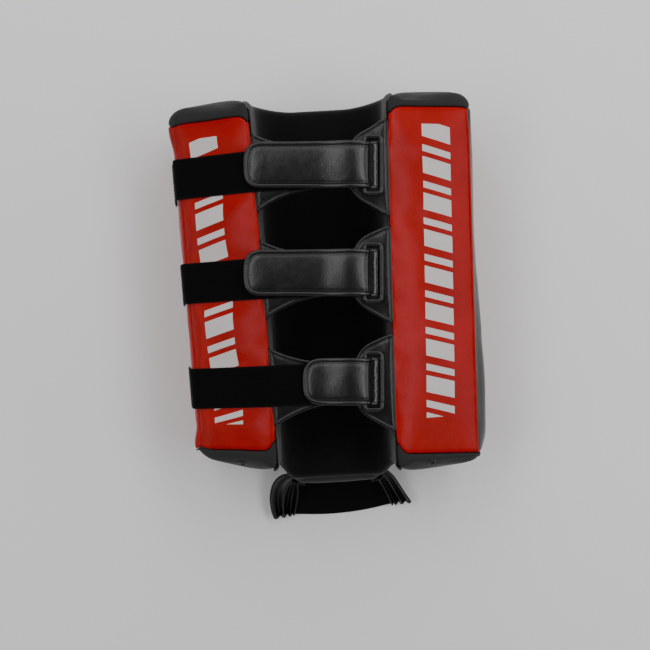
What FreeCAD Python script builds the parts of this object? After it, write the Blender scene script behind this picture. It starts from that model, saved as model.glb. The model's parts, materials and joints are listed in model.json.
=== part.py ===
"""Strap-on leg pad for kick training, as a parametric document.

The pad is a thick U of foam that closes round the front and sides of a leg. It lies on its
flat striking face: +X is across the leg, +Y runs up the leg and +Z points away from the
striking face, towards the three straps at the back of the leg. All sizes are millimetres.
The origin is the middle of the striking face.
"""
import FreeCAD, Part
import math
import os
import Sketcher

DIMS = [
    # foam block and leg channel
    ("inner_half", 76, "half width of the leg channel at mid length"),
    ("outer_half", 184, "half width of the whole pad at mid length"),
    ("taper", 0.027, "half width gained per millimetre up the leg"),
    ("upper_end", 243, "upper end of the pad"),
    ("lower_end", -207.5, "lower end of the wings"),
    ("tongue_end", -237.5, "lower end of the tongue over the foot"),
    ("front_height", 66, "height of the front block"),
    ("front_round", 45, "radius between striking face and sides"),
    ("rear_inner", 190, "height of a rear face at the channel"),
    ("rear_slope", 0.4167, "fall of a rear face per millimetre outwards"),
    ("end_round", 17, "radius where a rear face turns down to an end"),
    ("gusset_depth", 18, "rear panel stops this far short of a wing's ends"),
    ("corner_cut", 7, "foam bevelled away behind the corner piping"),
    ("cover", 2, "thickness of the synthetic leather covers"),
    ("glue_gap", 0.1, "room left between glued layers"),
    ("sponge", 8, "thickness of the channel sponge"),
    ("lining", 1.5, "thickness of the channel lining"),
    ("channel_round", 36, "radius of the sponge in the channel's corners"),
    ("arm_root", 20, "half width where the arms of a piece across the pad start"),
    ("tongue_half", 60, "half width of the tongue"),
    ("tongue_round", 18, "corner radius of the tongue"),
    ("tongue_floor", 12, "height of the tongue's underside"),
    ("piping_radius", 2, "radius of the corner piping"),
    ("piping_room", 4.8, "cover left out beside the piping"),
    # stations of the three straps
    ("station_top", 157, "middle of the top strap"),
    ("station_middle", 28, "middle of the middle strap"),
    ("station_bottom", -102, "middle of the bottom strap"),
    ("reach_top", 6, "top ring to the right wing"),
    ("reach_middle", 9.5, "middle ring to the right wing"),
    ("reach_bottom", 12.5, "bottom ring to the right wing"),
    ("strap_turn", -3, "degrees that the ring and pull tab lie askew"),
    # strap hardware
    ("play", 0.3, "room between pieces that move apart"),
    ("flap_thick", 2, "thickness of the leather flaps"),
    ("left_flap_root", 50, "half length of a left flap at its seam"),
    ("left_flap_waist", 28, "half length of a left flap at its waist"),
    ("left_flap_end", 25, "half length of a left flap at its end"),
    ("left_flap_neck", 40, "left flap from seam to waist, and its waist's radius"),
    ("left_flap_reach", 86, "left flap from seam to end"),
    ("left_flap_round", 18, "radius at a left flap's end"),
    ("right_flap_root", 56, "half length of a right flap at its seam"),
    ("right_flap_waist", 32, "half length of a right flap at its waist"),
    ("right_flap_end", 28, "half length of a right flap at its end"),
    ("right_flap_neck", 34, "right flap from seam to waist"),
    ("right_flap_bend", 20, "radius at a right flap's waist"),
    ("right_flap_reach", 49, "right flap from seam to end"),
    ("right_flap_round", 12, "radius at a right flap's end"),
    ("webbing_width", 50, "width of the elastic webbing"),
    ("webbing_thick", 1.5, "thickness of the elastic webbing"),
    ("webbing_foot", 78, "height where the webbing is sewn to the side"),
    ("webbing_stop", 16.4, "webbing ends this far short of the ring bar"),
    ("webbing_lift", 0.24, "room between webbing and cover"),
    ("webbing_bend", 3, "inner radius of the webbing at the corner piping"),
    ("webbing_crease", 6, "radius where the webbing leaves the rear panel"),
    ("ring_width", 24, "ring size across the bars"),
    ("ring_length", 70, "ring size along the bars"),
    ("ring_corner", 6, "radius of the ring's bent corners"),
    ("bar_radius", 1.75, "radius of the ring's bar"),
    ("fold_leg", 14, "webbing end sewn down beside the ring bar"),
    ("fold_lip", 6, "leather turned back over the ring bar"),
    ("keeper_thick", 1.6, "leather of the ring keeper"),
    ("keeper_seam", 2.5, "keeper ends this far short of the wing"),
    ("tab_near", 8.4, "pull tab starts this far from the ring bar"),
    ("tab_long", 145.5, "far end of the top and middle pull tabs"),
    ("tab_short", 75.5, "far end of the bottom pull tab"),
    ("tab_width", 56, "width over the pull tab's binding"),
    ("tab_thick", 3, "thickness of the padded pull tab"),
    ("tab_round", 16, "corner radius of the pull tab"),
    ("binding", 3.5, "width of the pull tab's bound edge"),
    ("hook_thick", 1, "thickness of the hook patch"),
    ("hook_inset", 3, "hook patch inside the binding"),
    # stirrup under the foot
    ("hinge_back", -243, "line that the stirrup swings about"),
    ("hinge_height", 40, "height of that line"),
    ("hem_radius", 3, "rolled hem at the stirrup's root"),
    ("hem_length", 8, "length of the rolled hem"),
    ("ear_half", 52, "half spacing of the stirrup's ears at the root"),
    ("ear_length", 48, "length of an ear"),
    ("ear_spread", 21.4, "degrees that an ear leans outwards"),
    ("ear_thick", 3, "thickness of a folded ear"),
    ("ear_top", 52, "height of an ear at its far end"),
    ("band_thick", 2, "thickness of the stirrup band"),
    ("band_near", -246, "edge of the band towards the pad"),
    ("band_far", -291, "far edge of the band"),
    ("band_half_near", 58, "half length of the band's near edge"),
    ("band_half_far", 76, "half length of the band's far edge"),
    ("band_round", 4, "corner radius of the band"),
    # vent eyelets
    ("eyelet_flange", 6, "radius of an eyelet's flange"),
    ("eyelet_bore", 2.6, "radius of an eyelet's hole"),
    ("eyelet_thick", 1.6, "thickness of an eyelet's flange"),
    ("eyelet_shift", 6, "eyelet from the middle of the wing, towards the channel"),
]

STATIONS = ("top", "middle", "bottom")
SIDES = (("left", -1), ("right", 1))
TOLERANCE = 0.01

DOC = FreeCAD.newDocument("leg_pad")
SHEET = DOC.addObject("Spreadsheet::Sheet", "Dims")
PARTS = []


def fill_sheet():
    """Put every driving dimension in the sheet, one row each."""
    for row, (alias, size, meaning) in enumerate(DIMS, start=1):
        SHEET.set(f"A{row}", meaning)
        SHEET.set(f"B{row}", str(size))
        SHEET.setAlias(f"B{row}", alias)
    DOC.recompute()


def value(expression):
    """Work out an expression in the sheet's aliases."""
    return float(SHEET.evalExpression(expression))


def publish(obj, label):
    """Name a finished sub-part, which is then written under that name."""
    obj.Label = label
    PARTS.append(obj)
    return obj


def new_body(name):
    return DOC.addObject("PartDesign::Body", name)


# ---------------------------------------------------------------- sketches


def attach(body, name, role, height):
    """Start a sketch on one of the body's origin planes, moved along its normal."""
    sketch = body.newObject("Sketcher::SketchObject", name)
    plane = [item for item in body.Origin.OriginFeatures if item.Role == role][0]
    sketch.AttachmentSupport = [(plane, "")]
    sketch.MapMode = "FlatFace"
    sketch.setExpression(".AttachmentOffset.Base.z", height)
    return sketch


def add_loop(sketch, corners, rounds):
    """Draw a closed outline whose corners and corner radii follow the sheet."""
    first = sketch.GeometryCount
    spots = [FreeCAD.Vector(value(across), value(up), 0) for across, up in corners]
    count = len(spots)
    for index in range(count):
        sketch.addGeometry(Part.LineSegment(spots[index], spots[(index + 1) % count]))
    for index in range(count):
        here = first + index
        after = first + (index + 1) % count
        sketch.addConstraint(Sketcher.Constraint("Coincident", here, 2, after, 1))
    for index, (across, up) in enumerate(corners):
        here = first + index
        bind(sketch, Sketcher.Constraint("DistanceX", -1, 1, here, 1, spots[index].x), across)
        bind(sketch, Sketcher.Constraint("DistanceY", -1, 1, here, 1, spots[index].y), up)
    DOC.recompute()
    for index, radius in rounds.items():
        arc = sketch.GeometryCount
        sketch.fillet(first + index, 1, value(radius), True, True)
        while not isinstance(sketch.Geometry[arc], Part.ArcOfCircle):
            arc += 1
        bind(sketch, Sketcher.Constraint("Radius", arc, value(radius)), radius)


def bind(sketch, constraint, expression):
    """Add a sketch constraint whose size is an expression."""
    index = sketch.addConstraint(constraint)
    sketch.setExpression(f"Constraints[{index}]", expression)


def outline(body, name, role, height, corners, rounds=None, hole=None):
    """Sketch a closed outline, with an inner outline if hole is given."""
    sketch = attach(body, name, role, height)
    add_loop(sketch, corners, rounds or {})
    if hole:
        add_loop(sketch, *hole)
    DOC.recompute()
    return sketch


def flat_pad(body, name, bottom, thickness, corners, rounds=None, hole=None):
    """A flat piece with its outline seen from above."""
    sketch = outline(body, name + "_outline", "XY_Plane", bottom, corners, rounds, hole)
    pad = body.newObject("PartDesign::Pad", name + "_pad")
    pad.Profile = sketch
    pad.setExpression("Length", thickness)
    DOC.recompute()
    return pad


# ------------------------------------------------- pieces that follow the taper


def at_half(half, along):
    """Half width at a place up the leg, from the half width at mid length."""
    return f"({half} + Dims.taper * ({along}))"


def rear_height(half, inset):
    """Height of a rear face at a half width, or of a face inset from it."""
    fall = f"({half} - Dims.inner_half) * Dims.rear_slope"
    return f"(Dims.rear_inner - {fall} - ({inset}) * sqrt(1 + Dims.rear_slope ^ 2))"


def rear_half(height, inset):
    """Half width where a face inset from a rear face reaches a height."""
    rise = f"Dims.rear_inner - ({height}) - ({inset}) * sqrt(1 + Dims.rear_slope ^ 2)"
    return f"(Dims.inner_half + ({rise}) / Dims.rear_slope)"


def wing_pad(body, name, side, start, stop, corners, rounds=None):
    """A run of constant section along one wing, slanting with the taper."""
    placed = [(f"{side} * {at_half(half, start)}", up) for half, up in corners]
    sketch = outline(body, name + "_section", "XZ_Plane", f"-({start})", placed, rounds)
    pad = body.newObject("PartDesign::Pad", name + "_run")
    pad.Profile = sketch
    pad.UseCustomVector = True
    pad.AlongSketchNormal = True
    pad.Direction = FreeCAD.Vector(side * value("Dims.taper"), 1, 0)
    pad.setExpression("Direction.x", f"{side} * Dims.taper")
    pad.setExpression("Length", f"{stop} - ({start})")
    DOC.recompute()
    return pad


def across_piece(body, name, start, stop, arm, rounds, bottom, top):
    """A piece across the whole pad: an arm that follows the taper on each side, and a middle.

    arm is the closed section of the right-hand arm, whose inner end is at Dims.arm_root."""
    for side_name, side in SIDES:
        wing_pad(body, f"{name}_{side_name}", side, start, stop, arm, rounds)
    reach = "2 * Dims.arm_root"
    corners = [(f"-{reach}", start), (f"-{reach}", stop), (reach, stop), (reach, start)]
    flat_pad(body, f"{name}_middle", bottom, f"{top} - ({bottom})", corners)


def block_arm(inset, top):
    """Section of half the front block, or of a face inset from it, with a rounded lower corner."""
    half = f"(Dims.outer_half - ({inset}))"
    corners = [("Dims.arm_root", inset), (half, inset), (half, top), ("Dims.arm_root", top)]
    return corners, {1: f"Dims.front_round - ({inset})"}


def trough_arm(half, floor, rim, thickness, inner_round, outer_round=None):
    """Section of half a sheet bent into a U that opens upwards."""
    inner = f"({half} - ({thickness}))"
    inner_floor = f"({floor}) + ({thickness})"
    corners = [
        ("Dims.arm_root", floor), (half, floor), (half, rim),
        (inner, rim), (inner, inner_floor), ("Dims.arm_root", inner_floor),
    ]
    rounds = {4: inner_round}
    if outer_round:
        rounds[1] = outer_round
    return corners, rounds


def tongue_outline(inset, start):
    """Plan of the tongue that reaches down over the foot, open towards the pad."""
    half = f"(Dims.tongue_half - ({inset}))"
    end = f"Dims.tongue_end + ({inset})"
    corners = [(f"-{half}", start), (f"-{half}", end), (half, end), (half, start)]
    radius = f"Dims.tongue_round - ({inset})"
    return corners, {1: radius, 2: radius}


# ---------------------------------------------------------------- foam and covers

SKIN = "(Dims.cover + Dims.glue_gap)"
FOAM_LOW = f"(Dims.lower_end + {SKIN})"
FOAM_HIGH = f"(Dims.upper_end - {SKIN})"
PANEL_LOW = "(Dims.lower_end + Dims.gusset_depth)"
PANEL_HIGH = "(Dims.upper_end - Dims.gusset_depth)"
BLOCK_TOP = "(Dims.front_height + Dims.glue_gap)"
WALL_BACK = "(Dims.inner_half + Dims.sponge + Dims.lining + Dims.glue_gap)"
INTO_BLOCK = "(Dims.lower_end + Dims.sponge)"


def end_edge(shape, along):
    """Name of the edge where a wing's sloping rear face meets the end face at a place up the leg."""
    for index, edge in enumerate(shape.Edges, start=1):
        start = edge.Vertexes[0].Point
        end = edge.Vertexes[-1].Point
        on_end = max(abs(start.y - along), abs(end.y - along)) < TOLERANCE
        rise = abs(start.z - end.z)
        if on_end and TOLERANCE < rise < abs(start.x - end.x):
            return f"Edge{index}"
    raise RuntimeError(f"no sloping edge at {along}")


def round_ends(body, base, name, ends, radius):
    """Round a wing piece where its rear face turns down to the given ends."""
    fillet = body.newObject("PartDesign::Fillet", name + "_ends")
    fillet.Base = (base, [end_edge(base.Shape, value(along)) for along in ends])
    fillet.setExpression("Radius", radius)
    DOC.recompute()


def make_foams():
    """The front block and the two wing blocks, which are glued to it."""
    front = new_body("front_foam_body")
    arm, rounds = block_arm(SKIN, "Dims.front_height")
    across_piece(front, "front_foam", FOAM_LOW, FOAM_HIGH, arm, rounds, SKIN, "Dims.front_height")
    corners, rounds = tongue_outline(SKIN, INTO_BLOCK)
    low = f"(Dims.tongue_floor + {SKIN})"
    flat_pad(front, "front_foam_tongue", low, f"Dims.front_height - {low}", corners, rounds)
    publish(front, "front_foam")
    wings = {}
    for name, side in SIDES:
        body = new_body(f"{name}_wing_foam_body")
        outer = f"(Dims.outer_half - {SKIN})"
        bevel = f"({outer} - Dims.corner_cut)"
        corners = [
            (WALL_BACK, BLOCK_TOP), (WALL_BACK, rear_height(WALL_BACK, SKIN)),
            (bevel, rear_height(bevel, SKIN)),
            (outer, f"{rear_height(outer, SKIN)} - Dims.corner_cut"), (outer, BLOCK_TOP),
        ]
        run = wing_pad(body, f"{name}_wing", side, FOAM_LOW, FOAM_HIGH, corners)
        round_ends(body, run, f"{name}_wing", (FOAM_LOW, FOAM_HIGH), f"Dims.end_round - {SKIN}")
        wings[name] = publish(body, f"{name}_wing_foam")
    return wings


def make_wing_gussets(wings):
    """Rounded end caps of the wings: a block with the foam taken out of it."""
    spans = {
        "top": (f"({PANEL_HIGH} + Dims.glue_gap)", "Dims.upper_end", "Dims.upper_end"),
        "bottom": ("Dims.lower_end", f"({PANEL_LOW} - Dims.glue_gap)", "Dims.lower_end"),
    }
    for name, side in SIDES:
        for end, (start, stop, face) in spans.items():
            label = f"{name}_{end}_gusset"
            body = new_body(label + "_block")
            corners = [
                (WALL_BACK, BLOCK_TOP), (WALL_BACK, rear_height(WALL_BACK, "0")),
                ("Dims.outer_half", rear_height("Dims.outer_half", "0")),
                ("Dims.outer_half", BLOCK_TOP),
            ]
            run = wing_pad(body, label, side, start, stop, corners)
            round_ends(body, run, label, (face,), "Dims.end_round")
            cut = DOC.addObject("Part::Cut", label + "_shell")
            cut.Base = body
            cut.Tool = wings[name]
            publish(cut, label)


def make_wing_panels():
    """Rear and side panels of the wings, with piping in the seam between them."""
    for name, side in SIDES:
        edge = "(Dims.outer_half - Dims.piping_room)"
        rear = new_body(f"{name}_rear_panel_body")
        corners = [
            ("Dims.inner_half", "Dims.rear_inner"), (edge, rear_height(edge, "0")),
            (edge, rear_height(edge, "Dims.cover")),
            ("Dims.inner_half", rear_height("Dims.inner_half", "Dims.cover")),
        ]
        wing_pad(rear, f"{name}_rear", side, PANEL_LOW, PANEL_HIGH, corners)
        publish(rear, f"{name}_rear_panel")
        wall = new_body(f"{name}_side_panel_body")
        brim = f"{rear_height('Dims.outer_half', '0')} - Dims.piping_room"
        inside = "(Dims.outer_half - Dims.cover)"
        corners = [
            (inside, BLOCK_TOP), (inside, brim), ("Dims.outer_half", brim),
            ("Dims.outer_half", BLOCK_TOP),
        ]
        wing_pad(wall, f"{name}_side", side, PANEL_LOW, PANEL_HIGH, corners)
        publish(wall, f"{name}_side_panel")
        make_piping(name, side)


def make_piping(name, side):
    """Round piping that fills the corner between a rear and a side panel."""
    body = new_body(f"{name}_corner_piping_body")
    sketch = attach(body, f"{name}_piping_section", "XZ_Plane", f"-{PANEL_LOW}")
    half = "(Dims.outer_half - Dims.piping_radius)"
    across = f"{side} * {at_half(half, PANEL_LOW)}"
    up = rear_height("Dims.outer_half", "Dims.piping_radius + 2 * Dims.glue_gap")
    radius = value("Dims.piping_radius")
    centre = FreeCAD.Vector(value(across), value(up), 0)
    sketch.addGeometry(Part.Circle(centre, FreeCAD.Vector(0, 0, 1), radius))
    bind(sketch, Sketcher.Constraint("DistanceX", -1, 1, 0, 3, centre.x), across)
    bind(sketch, Sketcher.Constraint("DistanceY", -1, 1, 0, 3, centre.y), up)
    bind(sketch, Sketcher.Constraint("Radius", 0, radius), "Dims.piping_radius")
    DOC.recompute()
    pad = body.newObject("PartDesign::Pad", f"{name}_piping_run")
    pad.Profile = sketch
    pad.UseCustomVector = True
    pad.AlongSketchNormal = True
    pad.Direction = FreeCAD.Vector(side * value("Dims.taper"), 1, 0)
    pad.setExpression("Direction.x", f"{side} * Dims.taper")
    pad.setExpression("Length", f"{PANEL_HIGH} - {PANEL_LOW}")
    publish(body, f"{name}_corner_piping")


def make_front_covers():
    """Striking-face cover and the end panels of the front block."""
    cover = new_body("front_cover_body")
    low = "(Dims.lower_end + Dims.cover + Dims.glue_gap)"
    high = "(Dims.upper_end - Dims.cover - Dims.glue_gap)"
    arm, rounds = trough_arm("Dims.outer_half", "0", "Dims.front_height", "Dims.cover",
                             "Dims.front_round - Dims.cover", "Dims.front_round")
    across_piece(cover, "front_cover", low, high, arm, rounds, "0", "Dims.cover")
    publish(cover, "front_cover")
    ends = {
        "top": ("(Dims.upper_end - Dims.cover)", "Dims.upper_end"),
        "bottom": ("Dims.lower_end", "(Dims.lower_end + Dims.cover)"),
    }
    for end, (start, stop) in ends.items():
        body = new_body(f"front_{end}_gusset_body")
        arm, rounds = block_arm("0", "Dims.front_height")
        across_piece(body, f"front_{end}", start, stop, arm, rounds, "0", "Dims.front_height")
        if end == "bottom":
            cut_tongue_window(body)
        publish(body, f"front_{end}_gusset")


def hollow(body, name, depth, corners, rounds=None):
    """Cut down into a body from the top of the front block, and prove that it was cut."""
    sketch = outline(body, name + "_outline", "XY_Plane", "Dims.front_height", corners, rounds)
    before = body.Shape.Volume
    pocket = body.newObject("PartDesign::Pocket", name)
    pocket.Profile = sketch
    pocket.setExpression("Length", depth)
    DOC.recompute()
    if not TOLERANCE < body.Shape.Volume < before - TOLERANCE:
        raise RuntimeError(f"{name} cuts nothing")


def cut_tongue_window(body):
    """Opening in the lower end panel that the tongue comes out of."""
    half = "(Dims.tongue_half + Dims.glue_gap)"
    start = "(Dims.lower_end - Dims.cover)"
    stop = "(Dims.lower_end + 2 * Dims.cover)"
    corners = [(f"-{half}", start), (f"-{half}", stop), (half, stop), (half, start)]
    depth = "Dims.front_height - Dims.tongue_floor + Dims.glue_gap"
    hollow(body, "tongue_window", depth, corners)


def make_tongue_case():
    """Cover of the tongue: a tray round its foam, open upwards and towards the pad."""
    body = new_body("tongue_case_body")
    height = "Dims.front_height - Dims.tongue_floor"
    corners, rounds = tongue_outline("0", "(Dims.lower_end + Dims.cover)")
    flat_pad(body, "tongue_case", "Dims.tongue_floor", height, corners, rounds)
    corners, rounds = tongue_outline("Dims.cover", INTO_BLOCK)
    hollow(body, "tongue_hollow", f"{height} - Dims.cover", corners, rounds)
    publish(body, "tongue_case")


def make_channel():
    """Sponge and lining that face the leg, each a U with a tongue at its lower end."""
    back = "(Dims.inner_half + Dims.sponge + Dims.lining)"
    face = "(Dims.inner_half + Dims.lining - Dims.glue_gap)"
    floor = f"({BLOCK_TOP} + Dims.sponge + Dims.glue_gap)"
    layers = [
        ("channel_sponge", back, BLOCK_TOP, "Dims.sponge", "Dims.channel_round", None),
        ("channel_lining", face, floor, "Dims.lining", "Dims.channel_round - Dims.lining",
         "Dims.channel_round"),
    ]
    for label, half, low, thick, inner_round, outer_round in layers:
        body = new_body(label + "_body")
        rim = f"{rear_height(half, 'Dims.cover')} - Dims.glue_gap"
        arm, rounds = trough_arm(half, low, rim, thick, inner_round, outer_round)
        across_piece(body, label, "Dims.lower_end", "Dims.upper_end", arm, rounds, low,
                     f"({low} + {thick})")
        corners, rounds = tongue_outline("0", "Dims.lower_end")
        flat_pad(body, label + "_tongue", low, thick, corners, rounds)
        publish(body, label)


# ---------------------------------------------------------------- straps

FLAP_BOTTOM = "(Dims.rear_inner - Dims.glue_gap - Dims.flap_thick)"
WEB_BOTTOM = "(Dims.rear_inner - Dims.glue_gap + Dims.play)"
BAR_HEIGHT = f"({WEB_BOTTOM} + Dims.webbing_thick + Dims.play + Dims.bar_radius)"
BAR_SPACING = "(Dims.ring_width - 2 * Dims.bar_radius)"


def flap_outline(side, station, name, bend):
    """Plan of a flap that narrows from its seam towards the middle of the channel."""
    flap = f"Dims.{name}_flap"
    pairs = [("0", f"{flap}_root"), (f"{flap}_neck", f"{flap}_waist"), (f"{flap}_reach", f"{flap}_end")]

    def spot(pair, sign):
        distance, half = pair
        along = f"(Dims.station_{station} + {sign} * {half})"
        across = f"{side} * ({at_half('Dims.inner_half', along)} - Dims.glue_gap - {distance})"
        return across, along

    upper = [spot(pair, 1) for pair in pairs]
    lower = [spot(pair, -1) for pair in reversed(pairs)]
    return upper + lower, {1: bend, 2: f"{flap}_round", 3: f"{flap}_round", 4: bend}


def make_flaps(station):
    """Leather flaps under a strap, sewn along the rear edges of the channel."""
    bends = {"left": "Dims.left_flap_neck", "right": "Dims.right_flap_bend"}
    for name, side in SIDES:
        body = new_body(f"{name}_flap_{station}_body")
        corners, rounds = flap_outline(side, station, name, bends[name])
        flat_pad(body, f"{name}_flap_{station}", FLAP_BOTTOM, "Dims.flap_thick", corners, rounds)
        publish(body, f"{name}_flap_{station}")


def ring_bar(station):
    """Position of the axis of a ring's left bar: across and up the leg."""
    along = f"Dims.station_{station}"
    edge = at_half("Dims.inner_half", along)
    across = f"({edge} - Dims.reach_{station} - Dims.ring_width + Dims.bar_radius)"
    return across, along


def settle(obj, station):
    """Put a piece drawn round the origin at a ring's left bar, lying askew like the ring."""
    across, along = ring_bar(station)
    obj.setExpression(".Placement.Base.x", across)
    obj.setExpression(".Placement.Base.y", along)
    obj.setExpression(".Placement.Rotation.Angle", "Dims.strap_turn")
    return obj


def make_webbing(station):
    """Elastic webbing: up the left side, over the rear panel and across the channel."""
    body = new_body(f"elastic_strap_{station}_body")
    bar_across, along = ring_bar(station)
    stop = f"(-({bar_across} - Dims.webbing_stop) - Dims.taper * {along})"
    faces = []
    for clear in ("Dims.webbing_lift", "(Dims.webbing_lift + Dims.webbing_thick)"):
        level = f"({WEB_BOTTOM} + {clear} - Dims.webbing_lift)"
        wall = f"(Dims.outer_half + {clear})"
        faces.append([
            (wall, "Dims.webbing_foot"), (wall, rear_height(wall, f"-{clear}")),
            (rear_half(level, f"-{clear}"), level), (stop, level),
        ])
    corners = faces[0] + list(reversed(faces[1]))
    rounds = {
        1: "Dims.webbing_bend", 2: "Dims.webbing_crease",
        5: "Dims.webbing_crease + Dims.webbing_thick", 6: "Dims.webbing_bend + Dims.webbing_thick",
    }
    start = f"({along} - Dims.webbing_width / 2)"
    end = f"({along} + Dims.webbing_width / 2)"
    wing_pad(body, f"webbing_{station}", -1, start, end, corners, rounds)
    publish(body, f"elastic_strap_{station}")
    make_anchor(station)


def make_anchor(station):
    """Leather patch that is sewn over the webbing's end on the left side."""
    body = new_body(f"strap_anchor_{station}_body")
    inside = "(Dims.outer_half + Dims.webbing_lift + Dims.webbing_thick + Dims.glue_gap)"
    outside = f"({inside} + Dims.lining)"
    low = "Dims.webbing_foot"
    high = "(Dims.webbing_foot + Dims.webbing_width / 2)"
    margin = "(Dims.webbing_width / 2 + Dims.cover)"
    corners = [(inside, low), (inside, high), (outside, high), (outside, low)]
    along = f"Dims.station_{station}"
    wing_pad(body, f"anchor_{station}", -1, f"({along} - {margin})", f"({along} + {margin})", corners)
    publish(body, f"strap_anchor_{station}")


def cylinder_along_y(name, radius, length, across, height):
    """A cylinder whose axis runs along Y, centred on Y = 0."""
    cylinder = DOC.addObject("Part::Cylinder", name)
    cylinder.setExpression("Radius", radius)
    cylinder.setExpression("Height", length)
    cylinder.Placement.Rotation = FreeCAD.Rotation(FreeCAD.Vector(1, 0, 0), -90)
    cylinder.setExpression(".Placement.Base.x", across)
    cylinder.setExpression(".Placement.Base.y", f"-({length}) / 2")
    cylinder.setExpression(".Placement.Base.z", height)
    return cylinder


def box(name, low, size):
    """A box from its lowest corner and its size, each three expressions."""
    block = DOC.addObject("Part::Box", name)
    for side, length in zip(("Length", "Width", "Height"), size):
        block.setExpression(side, length)
    for axis, start in zip("xyz", low):
        block.setExpression(f".Placement.Base.{axis}", start)
    return block


def fuse(name, shapes):
    joined = DOC.addObject("Part::MultiFuse", name)
    joined.Shapes = shapes
    joined.Refine = True
    return joined


def cut(name, base, tool):
    rest = DOC.addObject("Part::Cut", name)
    rest.Base = base
    rest.Tool = tool
    return rest


def make_ring(station):
    """Rectangular ring bent from round bar: four straight bars and four bent corners."""
    shapes = []
    reach = "(Dims.ring_length / 2 - Dims.bar_radius)"
    bend = "(Dims.ring_corner - Dims.bar_radius)"
    long_bar = f"(2 * {reach} - 2 * {bend})"
    short_bar = f"({BAR_SPACING} - 2 * {bend})"
    for place, across in (("near", "0"), ("far", BAR_SPACING)):
        name = f"ring_{station}_{place}_bar"
        shapes.append(cylinder_along_y(name, "Dims.bar_radius", long_bar, across, BAR_HEIGHT))
    for place, sign in (("upper", 1), ("lower", -1)):
        bar = DOC.addObject("Part::Cylinder", f"ring_{station}_{place}_bar")
        bar.setExpression("Radius", "Dims.bar_radius")
        bar.setExpression("Height", short_bar)
        bar.Placement.Rotation = FreeCAD.Rotation(FreeCAD.Vector(0, 1, 0), 90)
        bar.setExpression(".Placement.Base.x", bend)
        bar.setExpression(".Placement.Base.y", f"{sign} * {reach}")
        bar.setExpression(".Placement.Base.z", BAR_HEIGHT)
        shapes.append(bar)
    quarters = [(1, 1, 0), (-1, 1, 90), (-1, -1, 180), (1, -1, 270)]
    for index, (right, up, turn) in enumerate(quarters):
        corner = DOC.addObject("Part::Torus", f"ring_{station}_corner_{index}")
        corner.setExpression("Radius1", bend)
        corner.setExpression("Radius2", "Dims.bar_radius")
        corner.Angle3 = 90
        corner.Placement.Rotation = FreeCAD.Rotation(FreeCAD.Vector(0, 0, 1), turn)
        centre = f"({BAR_SPACING} / 2 + {right} * ({BAR_SPACING} / 2 - {bend}))"
        corner.setExpression(".Placement.Base.x", centre)
        corner.setExpression(".Placement.Base.y", f"{up} * ({reach} - {bend})")
        corner.setExpression(".Placement.Base.z", BAR_HEIGHT)
        shapes.append(corner)
    ring = fuse(f"ring_{station}_fuse", shapes)
    publish(settle(ring, station), f"strap_ring_{station}")


def make_fold(station):
    """Leather end of the strap, turned round the ring's left bar."""
    inner = "(Dims.bar_radius + Dims.play)"
    outer = f"({inner} + Dims.webbing_thick)"
    width = "Dims.webbing_width"
    edge = f"-{width} / 2"
    name = f"fold_{station}"
    wrap = cylinder_along_y(name + "_outside", outer, width, "0", BAR_HEIGHT)
    left = f"-({outer} + 1)"
    half_space = box(name + "_half", (left, f"-{width}", f"{BAR_HEIGHT} - {outer} - 1"),
                     (f"{outer} + 1", f"2 * {width}", f"2 * {outer} + 2"))
    bend = cut(name + "_bend", wrap, half_space)
    leg = box(name + "_leg", ("-Dims.fold_leg", edge, f"{BAR_HEIGHT} - {outer}"),
              ("Dims.fold_leg", width, "Dims.webbing_thick"))
    lip = box(name + "_lip", ("-Dims.fold_lip", edge, f"{BAR_HEIGHT} + {inner}"),
              ("Dims.fold_lip", width, "Dims.webbing_thick"))
    solid = fuse(name + "_solid", [bend, leg, lip])
    hollow = cylinder_along_y(name + "_inside", inner, f"2 * {width}", "0", BAR_HEIGHT)
    fold = cut(name + "_piece", solid, hollow)
    publish(settle(fold, station), f"strap_fold_{station}")


def make_keeper(station):
    """Leather loop that holds the ring's right bar at the seam of the right wing."""
    inner = "(Dims.bar_radius + Dims.play)"
    outer = f"({inner} + Dims.keeper_thick)"
    width = "Dims.webbing_width"
    name = f"keeper_{station}"
    wrap = cylinder_along_y(name + "_outside", outer, width, BAR_SPACING, BAR_HEIGHT)
    length = f"(Dims.bar_radius + Dims.reach_{station} - Dims.keeper_seam)"
    leg = box(name + "_leg", (BAR_SPACING, f"-{width} / 2", f"{BAR_HEIGHT} - {outer}"),
              (length, width, "Dims.keeper_thick"))
    solid = fuse(name + "_solid", [wrap, leg])
    hollow = cylinder_along_y(name + "_inside", inner, f"2 * {width}", BAR_SPACING, BAR_HEIGHT)
    keeper = cut(name + "_piece", solid, hollow)
    publish(settle(keeper, station), f"ring_keeper_{station}")


def tab_outline(far, inset, near_inset):
    """Plan of a pull tab, rounded at its far end."""
    half = f"(Dims.tab_width / 2 - ({inset}))"
    near = f"-(Dims.tab_near + ({near_inset}))"
    end = f"-({far} - ({inset}))"
    corners = [(near, half), (end, half), (end, f"-{half}"), (near, f"-{half}")]
    radius = f"Dims.tab_round - ({inset})"
    return corners, {1: radius, 2: radius}


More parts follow.
